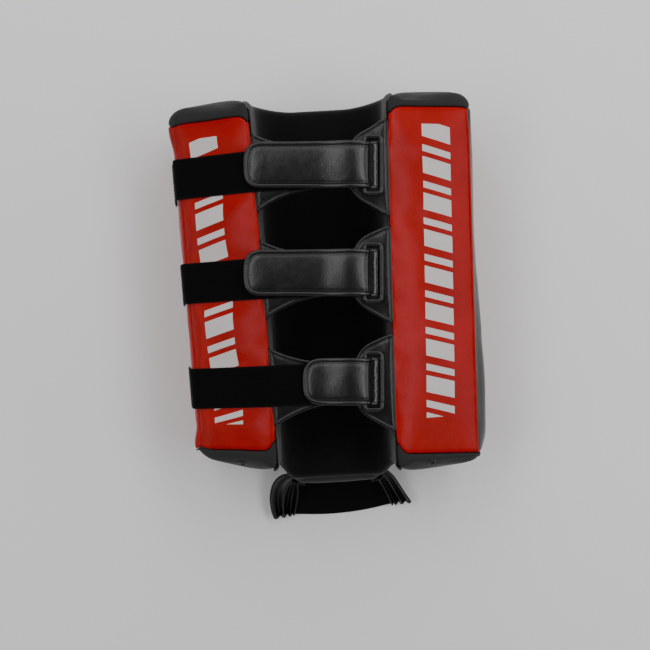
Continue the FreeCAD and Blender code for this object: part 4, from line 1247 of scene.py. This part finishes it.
STRAP_THICK = 1.5
STRAP_CLEAR = 1.0       # the middle of the strap passes this far over the rear panel
STRAP_OFF = 0.9         # and this far outside the side panel
STRAP_LEAN = 32.0       # above its foot it reaches the side at this height
STRAP_BENDS = (60.0, 9.0, 40.0)         # radii at the side, at the corner and at the channel


def strap_path(station):
    """Path of a strap's middle from its foot to its fold, in half widths and heights."""
    (_, _, foot), (stop, _, level) = box_mm(f"elastic_strap_{station}")
    centre = level - STRAP_THICK / 2
    corner = OUTER - STRAP_PRESS + STRAP_OFF
    rear = REAR - SLOPE * (corner - INNER) + STRAP_CLEAR
    crest = INNER + (REAR + STRAP_CLEAR - centre) / SLOPE
    end = -(stop - TAPER * MIDDLES[station])
    path = rounded_path([(OUTER + STRAP_OFF, foot), (OUTER - 1.8, foot + STRAP_LEAN), (corner, rear),
                         (crest, centre), (end, centre)], STRAP_BENDS, 4.0)
    return resample(path, 5.0)


def make_elastic(station):
    """Elastic strap: up the left side, over the rear panel and across the channel."""
    middle = MIDDLES[station]
    path = strap_path(station)
    tangent = unit(np.gradient(path, axis=0))
    normal = np.stack([tangent[:, 1], -tangent[:, 0]], 1)
    normal = normal if normal[-1][1] > 0 else -normal
    sag = 0.15 * np.sin(np.linspace(0, 9, len(path))) * smooth(0, 60, INNER - path[:, 0])
    points = np.stack([-(path[:, 0] + TAPER * middle), np.full(len(path), middle), path[:, 1] + sag], 1)
    normals = np.stack([-normal[:, 0], np.zeros(len(path)), normal[:, 1]], 1)
    points_all, faces, flat = ribbon(points, normals, STRAP_HALF, STRAP_THICK, np.array([-TAPER, 1, 0]))
    piece = make_piece(f"elastic_strap_{station}_webbing", points_all, faces, ELASTIC, flat, merge=0.02)
    origin, left, _ = ring_frame(station)
    ends = (origin + left * 85.0, origin + left * 17.0)
    bend(subdivide(piece), ("root", f"ring_{station}"), ends, f"elastic_strap_{station}")
    make_anchor(station)


# Heights of a patch's faces by distance from its edge, and its grid lines.
PATCH_TOP = ((0, 0), (0.4, 0.7), (2.0, 0.85), (3.0, 0.55), (4.2, 0.95), (8, 1.0))
PATCH_BACK = ((0, 0), (0.4, -0.6), (8, -0.7))
PATCH_LINES = (0, 0.4, 2.0, 3.0, 4.2, 7.0)
PATCH_ROUND = 6.0       # radius of an anchor patch's corners
ANCHOR_OFF = 2.5        # the patch stands this far off the side at its foot
ANCHOR_LEAN = 0.09      # and leans in with the side


def make_anchor(station):
    """Leather patch that is sewn over the strap's end on the left side."""
    (_, start, low), (_, stop, high) = box_mm(f"strap_anchor_{station}")
    middle = (start + stop) / 2
    half_width = (stop - start) / 2

    def half(x):
        return half_width

    def carry(local):
        y = middle + local[:, 1]
        x = -(OUTER + ANCHOR_OFF - ANCHOR_LEAN * local[:, 0] + TAPER * y) - local[:, 2]
        return np.stack([x, y, low - 4 + local[:, 0]], 1)

    rounds = (PATCH_ROUND, PATCH_ROUND)
    reach = high - low + 4
    local, faces, flat = leaf(reach, half, rounds, PATCH_TOP, PATCH_BACK, 6.0, PATCH_LINES)
    add_leaf(f"strap_anchor_{station}_patch", carry(local), faces, flat, BLACK, "root",
             f"strap_anchor_{station}")
    track = leaf_track(reach, half, rounds, 3.0, start=3.0, whole=True)
    sew(f"anchor_stitching_{station}", track, carry, PATCH_TOP, 3.0)


FOLD_RADIUS = 3.1       # middle of the strap's leather end, round the bar
# Path of that end in the plane across the bar: in from the webbing, and its lip over the bar.
FOLD_LEG = ((17.0, -2.6), (12.0, -2.75), (7.0, -FOLD_RADIUS), (3.0, -FOLD_RADIUS))
FOLD_LIP = ((3.0, FOLD_RADIUS - 0.1), (5.5, FOLD_RADIUS - 0.5))
FOLD_TOP = ((0, 0), (0.4, 0.6), (4, 0.7))
FOLD_BACK = ((0, 0), (0.4, -0.6), (4, -0.7))


def make_fold(station):
    """Leather end of the strap, from the webbing round the ring's left bar."""
    turn = np.radians(np.arange(-90, 100, 12))
    wrap = np.stack([-FOLD_RADIUS * np.cos(turn), FOLD_RADIUS * np.sin(turn)], 1)
    carry, reach = along_path(np.vstack([FOLD_LEG, wrap, FOLD_LIP]), ring_carry(station))
    local, faces, flat = leaf(reach, lambda x: STRAP_HALF, (1.0, 1.0), FOLD_TOP, FOLD_BACK, 1.6,
                              (0, 0.4, 1.5))
    add_leaf(f"strap_fold_{station}_leather", carry(local), faces, flat, BLACK, f"ring_{station}",
             f"strap_fold_{station}")


RING_WIDTH = 24.0
RING_LENGTH = 70.0      # along its bars
RING_BAR = 1.75         # half height of the bar
RING_BROAD = 2.4        # half width of the bar
RING_CORNER = 6.5
BAR_X = 2 * RING_BAR - RING_WIDTH       # right bar, from the left bar
BAR_SHIFT = 0.2         # the right bar's middle lies this far inside that


def make_ring(station):
    """Rectangular ring of glossy plastic bar."""
    base = ring_carry(station)
    x0, x1 = 0.0, BAR_X + BAR_SHIFT
    reach = RING_LENGTH / 2 - RING_BROAD + 1.5
    middle = ((x0 + x1) / 2, reach)
    corners = [middle, (x0, reach), (x0, -reach), (x1, -reach), (x1, reach), middle]
    path = rounded_path(corners, [RING_CORNER - RING_BROAD] * 4, 1.2)[:-1]
    path = resample(path, 1.8, closed=True)
    points = base(np.column_stack([path, np.zeros(len(path))]))
    mesh = tube(points, RING_BROAD, 16, closed=True, squash=RING_BAR / RING_BROAD)
    piece = make_piece(f"strap_ring_{station}_moulding", *mesh, PLASTIC)
    place(subdivide(piece), f"ring_{station}", f"strap_ring_{station}")


KEEPER_HALF = 25.5      # half width of the keeper
KEEPER_TAIL = 8.3       # its raw ends stand this far into the ring's slot
KEEPER_WRAP = 2.75      # middle of its thin leather, above the ring's bar
KEEPER_BROAD = 2.8      # and beside it
# Path of its ends in the plane across the bar, from the bar: lower and upper end in the slot.
KEEPER_UNDER = ((KEEPER_TAIL - 0.8, -3.3), (4.5, -3.25))
KEEPER_OVER = ((3.3, -1.0), (4.3, -2.3), (5.9, -2.6), (KEEPER_TAIL, -2.4))
KEEPER_TOP = ((0, 0), (0.3, 0.25), (4, 0.28))
KEEPER_BACK = ((0, 0), (0.3, -0.22), (4, -0.25))
KEEPER_LINES = (0, 0.3, 1.2)
LEG_LEVEL = -5.3        # the keeper's leg runs this far below the bar to the wing's seam


def make_keeper(station):
    """Thin leather loop round the ring's right bar; its raw ends are sewn down in the ring's slot."""
    base = ring_carry(station)
    turn = np.radians(np.arange(-110, 171, 14))
    wrap = np.stack([BAR_SHIFT - KEEPER_BROAD * np.cos(turn), KEEPER_WRAP * np.sin(turn)], 1)
    path = np.vstack([KEEPER_UNDER, wrap, KEEPER_OVER]) + np.array([BAR_X, 0])
    carry, reach = along_path(path, base)
    local, faces, flat = leaf(reach, lambda x: KEEPER_HALF, (0.8, 0.8), KEEPER_TOP, KEEPER_BACK, 1.3,
                              KEEPER_LINES)
    # the keeper and its leg take the darker leather, whose colour holds painted shade
    add_leaf(f"ring_keeper_{station}_leather", carry(local), faces, flat, SHADED_DULL_BLACK, "root",
             f"ring_keeper_{station}")
    seam = box_mm(f"ring_keeper_{station}")[1][0] - ring_frame(station)[0][0] + BAR_X
    local, faces, flat = leaf(seam, lambda x: KEEPER_HALF - 2, (1.0, 1.0), KEEPER_TOP, KEEPER_BACK, 3.0,
                              KEEPER_LINES)
    local = local * np.array([-1, 1, 1]) + np.array([BAR_X, 0, LEG_LEVEL])
    add_leaf(f"ring_keeper_{station}_leg", base(local), faces[:, ::-1], flat, SHADED_DULL_BLACK, "root")
    make_raw_edge(station, base)


def make_raw_edge(station, base):
    """Pale ragged edge of the keeper's leather, with tufts at its corners and loose fibres."""
    ys = np.arange(-KEEPER_HALF + 0.5, KEEPER_HALF, 1.0)
    spots = np.stack([ys, 0 * ys, 0 * ys], 1)
    wander = 0.9 * waviness(spots, 11.0, len(station)) + 1.0 * waviness(spots, 2.6, 3)
    path = np.column_stack([BAR_X + KEEPER_TAIL - 0.7 + wander, ys, -1.75 + 0.3 * wander])
    width = 1.5 + 0.5 * waviness(spots, 2.1, 12) + 0.5 * smooth(KEEPER_HALF - 4, KEEPER_HALF, np.abs(ys))
    parts = [flat_tube(base, path, width, 0.42)]
    for index in range(2, len(ys) - 2, 4):
        swing = math.sin(index * 2.4)
        fibre = np.array([path[index] + (0.9, 0, 0), path[index] + (2.2, 0.9 * swing, 0.4),
                          path[index] + (2.9 + 0.8 * swing, 2.2 * swing, 0.2)])
        parts.append(tube(base(fibre), [0.2, 0.16, 0.07], 5))
    for end in (-1, 1):
        for index in range(5):
            foot = np.array([BAR_X + KEEPER_TAIL - 2.0 + 1.3 * index, end * (KEEPER_HALF + 0.3), -1.9])
            tuft = np.array([foot, foot + (0.5, 0.9 * end, 0.4),
                             foot + (0.2 - 0.3 * index, 1.9 * end, 0.3)])
            parts.append(tube(base(tuft), [0.65, 0.6, 0.2], 6))
    stay(make_piece(f"keeper_raw_edge_{station}", *join(parts), RAW_EDGE))


def flat_tube(base, path, width, thick):
    """A ragged flat strand: an ellipse swept along the bar's direction."""
    turns = np.arange(8) * math.pi / 4
    rings = []
    for spot, half in zip(path, width):
        ring = np.column_stack([half * np.cos(turns), 0 * turns, thick * np.sin(turns)])
        rings.append(base(spot + ring))
    return loft(rings)


FLAP_LEVEL = 188.7      # middle of the flaps' leather
FLAP_TUCKED = 5.0       # the flap's root goes this far over the wing's rim
FLAP_ROUNDS = {"left": (1.0, 18.0), "right": (1.0, 19.0)}
FLAP_SKEW = {"left": 0.05, "right": 0.13}       # the lower half is wider at the root
DROOP = 3.2             # a flap's free corners hang this far down
ROOT_FALL = 5.5         # its root dips this far into the wing's seam


def make_flap(name, side, station):
    """Leather flap under a strap: bound edge, stitching and a gentle sag into the channel."""
    middle = MIDDLES[station]
    low, high = box_mm(f"{name}_flap_{station}")
    reach = high[0] - low[0] - TAPER * 50 + FLAP_TUCKED
    root = (high[1] - low[1]) / 2
    shape = {"left": ((0, root), (16, root * 0.80), (44, 30.0), (64, 26.5), (reach, 24.0)),
             "right": ((0, root + 1), (8, root), (40, 43.0), (reach, 34.0))}[name]
    places, halves = zip(*shape)

    def half(x):
        near = [np.interp(x + shift, places, halves) for shift in (-9, -4.5, 0, 4.5, 9)]
        return float(np.mean(near))

    pinch = 0.08 if (name, station) == ("right", "top") else 0.0

    def carry(points):
        skew = 1 + FLAP_SKEW[name] * smooth(reach * 0.8, 0, points[:, 0]) * (points[:, 1] < 0)
        skew -= pinch * smooth(8, 30, points[:, 0]) * smooth(10, 30, points[:, 1])
        along = middle + points[:, 1] * skew
        inward = points[:, 0] - FLAP_TUCKED
        across = INNER + TAPER * along - inward
        away = np.abs(points[:, 1])
        droop = DROOP * smooth(STRAP_HALF - 4, root, away) * smooth(0, 18, inward)
        droop += 0.9 * smooth(20, reach, inward)
        ripple = 0.5 * np.sin(points[:, 1] / 9.0 + side) * smooth(4, 20, inward) * smooth(20, 34, away)
        root_fall = ROOT_FALL * smooth(3, 1 - FLAP_TUCKED, inward)
        up = FLAP_LEVEL - droop + ripple - root_fall + points[:, 2]
        return np.stack([side * across, along, up], 1)

    rounds = FLAP_ROUNDS[name]
    local, faces, flat = leaf(reach, half, rounds, BOUND, BACK, 6.5)
    # the flaps take the darker leather, whose colour holds painted shade
    add_leaf(f"{name}_flap_{station}_leather", carry(local), faces, flat, SHADED_DULL_BLACK, "root",
             f"{name}_flap_{station}")
    track = leaf_track(reach, half, rounds, FLAP_STITCH, start=FLAP_TUCKED)
    sew(f"{name}_flap_stitching_{station}", track, carry, BOUND, FLAP_STITCH)


# ---------------------------------------------------------------- stirrup and eyelets


BAND_NEAR = -238.0      # near edge of the band, under the tongue
BAND_FAR = -289.2       # far edge where it hangs lowest
BAND_LOWEST = -15.0     # place of that across the leg
BAND_BOW = 0.00137      # rise of the far edge, by distance squared
BAND_LEVEL = 2.7        # height of the band's upper face over the floor
BAND_THICK = 1.8
BAND_ROWS = 17
BAND_COLUMNS = 45
EAR_EDGES = {           # plan of each ear's inner and outer edge, from root to far end
    "left": (((-54, -238), (-53, -255), (-57, -268), (-62, -285)),
             ((-60, -228), (-91, -224), (-97, -262), (-88, -288))),
    "right": (((53, -238), (58, -248), (66, -262), (72, -278)),
              ((58, -229), (74, -227), (82, -256), (97, -276))),
}
PLEATS = 3.2            # folds across an ear, closest together at its inner edge
EAR_COLUMNS = 45
EAR_ROWS = 27
EAR_THICK = 1.5
WELT = 1.3              # radius of an ear's bound edge


def bezier(controls, share):
    """Points on the curve of four control points."""
    rest = 1 - share
    weights = (rest ** 3, 3 * share * rest ** 2, 3 * share ** 2 * rest, share ** 3)
    return sum(weight[..., None] * np.array(spot, float) for weight, spot in zip(weights, controls))


def shares(rows, columns):
    """Shares across and along a grid."""
    return np.meshgrid(np.linspace(0, 1, columns), np.linspace(0, 1, rows))


def make_stirrup():
    """Stirrup band under the foot, and a folded leather ear at each end."""
    u, v = shares(BAND_ROWS, BAND_COLUMNS)
    start = bezier(EAR_EDGES["left"][0], v)[..., 0] - 3.0
    stop = bezier(EAR_EDGES["right"][0], v)[..., 0] + 3.0
    x = start + (stop - start) * u
    far = BAND_FAR + BAND_BOW * (x - BAND_LOWEST) ** 2
    y = BAND_NEAR + (far - BAND_NEAR) * v
    sideways = np.abs(2 * u - 1)
    z = BAND_LEVEL + 6.0 * smooth(0.5, 0.0, v) + 5.0 * smooth(0.75, 1, sideways)
    z += 0.6 * np.sin(5 * u + 3 * v) * smooth(0, 0.2, u) * smooth(1, 0.8, u)
    points = np.stack([x, y, z], 2).reshape(-1, 3)
    flat = np.stack([x, y, 30 + 0 * x], 2).reshape(-1, 3)
    faces = grid_faces(BAND_ROWS, BAND_COLUMNS, flip=True)
    piece = make_piece("stirrup_band_webbing", points, faces, STIRRUP_WEB, flat, closed=False)
    thicken(piece, BAND_THICK)
    place(subdivide(piece), "stirrup", "stirrup_band")
    for name, side in SIDES.items():
        make_ear(name, side)
        make_ear_anchor(name, side)


def ear_point(name, u, v):
    """Point on an ear: u from its inner to its outer edge, v from the root to the far end."""
    inner, outer = EAR_EDGES[name]
    plan = bezier(inner, v) + (bezier(outer, v) - bezier(inner, v)) * u[..., None]
    fold = np.cos(2 * math.pi * PLEATS * u ** 0.7)
    depth = (1.0 + 4.5 * v) * (1 - 0.35 * u)
    plan[..., 1] -= 2.2 * v ** 3 * fold * (1 - 0.5 * u)
    crown = 9.0 * np.sin(math.pi * np.clip(u, 0, 1)) * np.sin(math.pi * np.clip(v, 0, 1)) ** 0.7
    z = 40 - (33.0 - 9.0 * u) * v ** 0.8 + crown * u + depth * fold
    return np.concatenate([plan, np.maximum(z, 2.8)[..., None]], -1)


def make_ear(name, side):
    """Leather ear gathered at its root and fanned out in folds, with bound edges."""
    u, v = shares(EAR_ROWS, EAR_COLUMNS)
    points = ear_point(name, u, v).reshape(-1, 3)
    flat = np.stack([v * 60, u * 30, np.minimum(u, 1 - u) * 30], 2).reshape(-1, 3)
    faces = grid_faces(EAR_ROWS, EAR_COLUMNS, flip=side > 0)
    piece = make_piece(f"stirrup_{name}_ear_leather", points, faces, BLACK, flat, closed=False)
    thicken(piece, EAR_THICK)
    place(subdivide(piece), "stirrup", f"stirrup_{name}_ear")
    line = np.linspace(0, 1, 40)
    rim = [ear_point(name, 0 * line, line), ear_point(name, line, 0 * line + 1),
           ear_point(name, 0 * line + 1, line[::-1])]
    path = resample(np.vstack(rim), 2.2)
    path[:, 2] = np.maximum(path[:, 2], 2.2)
    welt = make_piece(f"stirrup_{name}_ear_binding", *tube(path, WELT, 8), BLACK)
    place(subdivide(welt), "stirrup")


def make_ear_anchor(name, side):
    """Patch on the tongue that the ear is sewn to."""
    (left, low_y, low), (right, _, high) = box_mm(f"stirrup_{name}_anchor")
    middle = (left + right) / 2

    def carry(local):
        x = middle + local[:, 1] * side
        bulge = 5.0 * ((np.abs(x) - 44) / 16).clip(0, 1) ** 2
        return np.stack([x, low_y - 1.6 - local[:, 2] + bulge, low - 3 + local[:, 0]], 1)

    local, faces, flat = leaf(high - low + 6, lambda x: 9.0, (4.0, 4.0), PATCH_TOP, PATCH_BACK, 4.0,
                              (0, 0.4, 2.0, 3.0, 4.2))
    add_leaf(f"stirrup_{name}_anchor_patch", carry(local), faces, flat, BLACK, "root",
             f"stirrup_{name}_anchor")


# Section of an eyelet's rolled rim, as (radius, height over the gusset).
EYELET_PROFILE = ((2.6, -1.2), (2.5, 0.2), (2.9, 1.0), (3.8, 1.5), (5.0, 1.3), (5.9, 0.5), (6.0, -0.4),
                  (5.0, -1.0))
EYELET_RADIUS = 6.0
EYELET_SUNK = 0.4
EYELET_TURNS = 28


def make_eyelets(wings):
    """Enamelled vent eyelets with rolled rims, on the lower gussets."""
    (_, low_y, low), (right, high_y, high) = box_mm("vent_eyelets")
    parts = []
    for name, side in SIDES.items():
        points, normals = wings[name]
        target = np.array([side * (right - EYELET_RADIUS), (low_y + high_y) / 2, (low + high) / 2])
        nearest = np.argmin(np.linalg.norm(points - target, axis=1))
        normal = unit(normals[nearest])
        side_axis = unit(np.cross(normal, (1.0, 0, 0)))
        other = np.cross(normal, side_axis)
        centre = points[nearest] - normal * EYELET_SUNK
        rings = []
        for turn in np.arange(EYELET_TURNS) * 2 * math.pi / EYELET_TURNS:
            arm = side_axis * math.cos(turn) + other * math.sin(turn)
            rings.append([centre + arm * radius + normal * rise for radius, rise in EYELET_PROFILE])
        parts.append(loft(rings, closed=True))
    piece = make_piece("vent_eyelet_pair", *join(parts), ENAMEL)
    place(subdivide(piece), "root", "vent_eyelets")


# ---------------------------------------------------------------- stage


def make_floor():
    """Plain pale floor."""
    size = 6000.0
    step = np.linspace(-size, size, 13)
    x, y = np.meshgrid(step, step, indexing="ij")
    points = np.stack([x, y, np.zeros_like(x)], 2).reshape(-1, 3)
    material, tree, shader = new_material("pale_floor")
    where = millimetres(tree)
    tone = blend_colour(tree, noise_at(tree, where, 300.0), (0.90, 0.90, 0.90, 1), (0.93, 0.93, 0.93, 1))
    feed(tree, shader, {"Base Color": tone, "Roughness": 0.9})
    floor = make_piece("studio_floor", points, grid_faces(13, 13), material, closed=False)


def softbox(name, spot, target, size, power):
    data = bpy.data.lights.new(name, "AREA")
    data.shape = "RECTANGLE"
    data.size, data.size_y = size
    data.energy = power
    lamp = bpy.data.objects.new(name, data)
    lamp.location = spot
    lamp.rotation_euler = (Vector(target) - Vector(spot)).to_track_quat("-Z", "Y").to_euler()
    bpy.context.scene.collection.objects.link(lamp)


def make_lights():
    world = bpy.data.worlds.new("studio")
    world.use_nodes = True
    background = world.node_tree.nodes["Background"]
    background.inputs["Color"].default_value = (1, 1, 1, 1)
    background.inputs["Strength"].default_value = 0.1
    bpy.context.scene.world = world
    softbox("overhead_right_softbox", (1.1, 0.3, 2.1), (0, 0, 0.1), (2.6, 0.7), 23)
    softbox("overhead_left_softbox", (-1.0, 0.4, 2.1), (0, 0, 0.1), (2.6, 0.7), 19)
    softbox("upper_softbox", (0.15, 1.7, 1.3), (0, 0, 0.1), (2.4, 1.2), 14)
    softbox("lower_softbox", (0.0, -1.75, 1.2), (0, 0, 0.1), (2.4, 1.1), 3)
    softbox("right_softbox", (1.75, 0.1, 0.85), (0, 0, 0.1), (1.8, 0.8), 9)
    softbox("left_softbox", (-1.8, 0.0, 0.8), (0, 0, 0.1), (1.8, 0.8), 6)


CAMERA_HEIGHT = 1.59
CAMERA_TURN = -3.15
LENS = 64.6


def make_camera():
    data = bpy.data.cameras.new("camera")
    data.lens = LENS
    camera = bpy.data.objects.new("camera", data)
    camera.location = (-0.0057, -0.032, CAMERA_HEIGHT)
    camera.rotation_euler = (0, 0, math.radians(CAMERA_TURN))
    bpy.context.scene.collection.objects.link(camera)
    bpy.context.scene.camera = camera


make_camera()
make_lights()
make_floor()
WINGS = {name: make_wing(name, side) for name, side in SIDES.items()}
make_front()
make_tongue()
make_lining()
for STATION in STATIONS:
    make_elastic(STATION)
    make_fold(STATION)
    make_ring(STATION)
    make_keeper(STATION)
    make_tab(STATION)
    for SIDE_NAME, SIDE in SIDES.items():
        make_flap(SIDE_NAME, SIDE, STATION)
make_stirrup()
make_eyelets(WINGS)
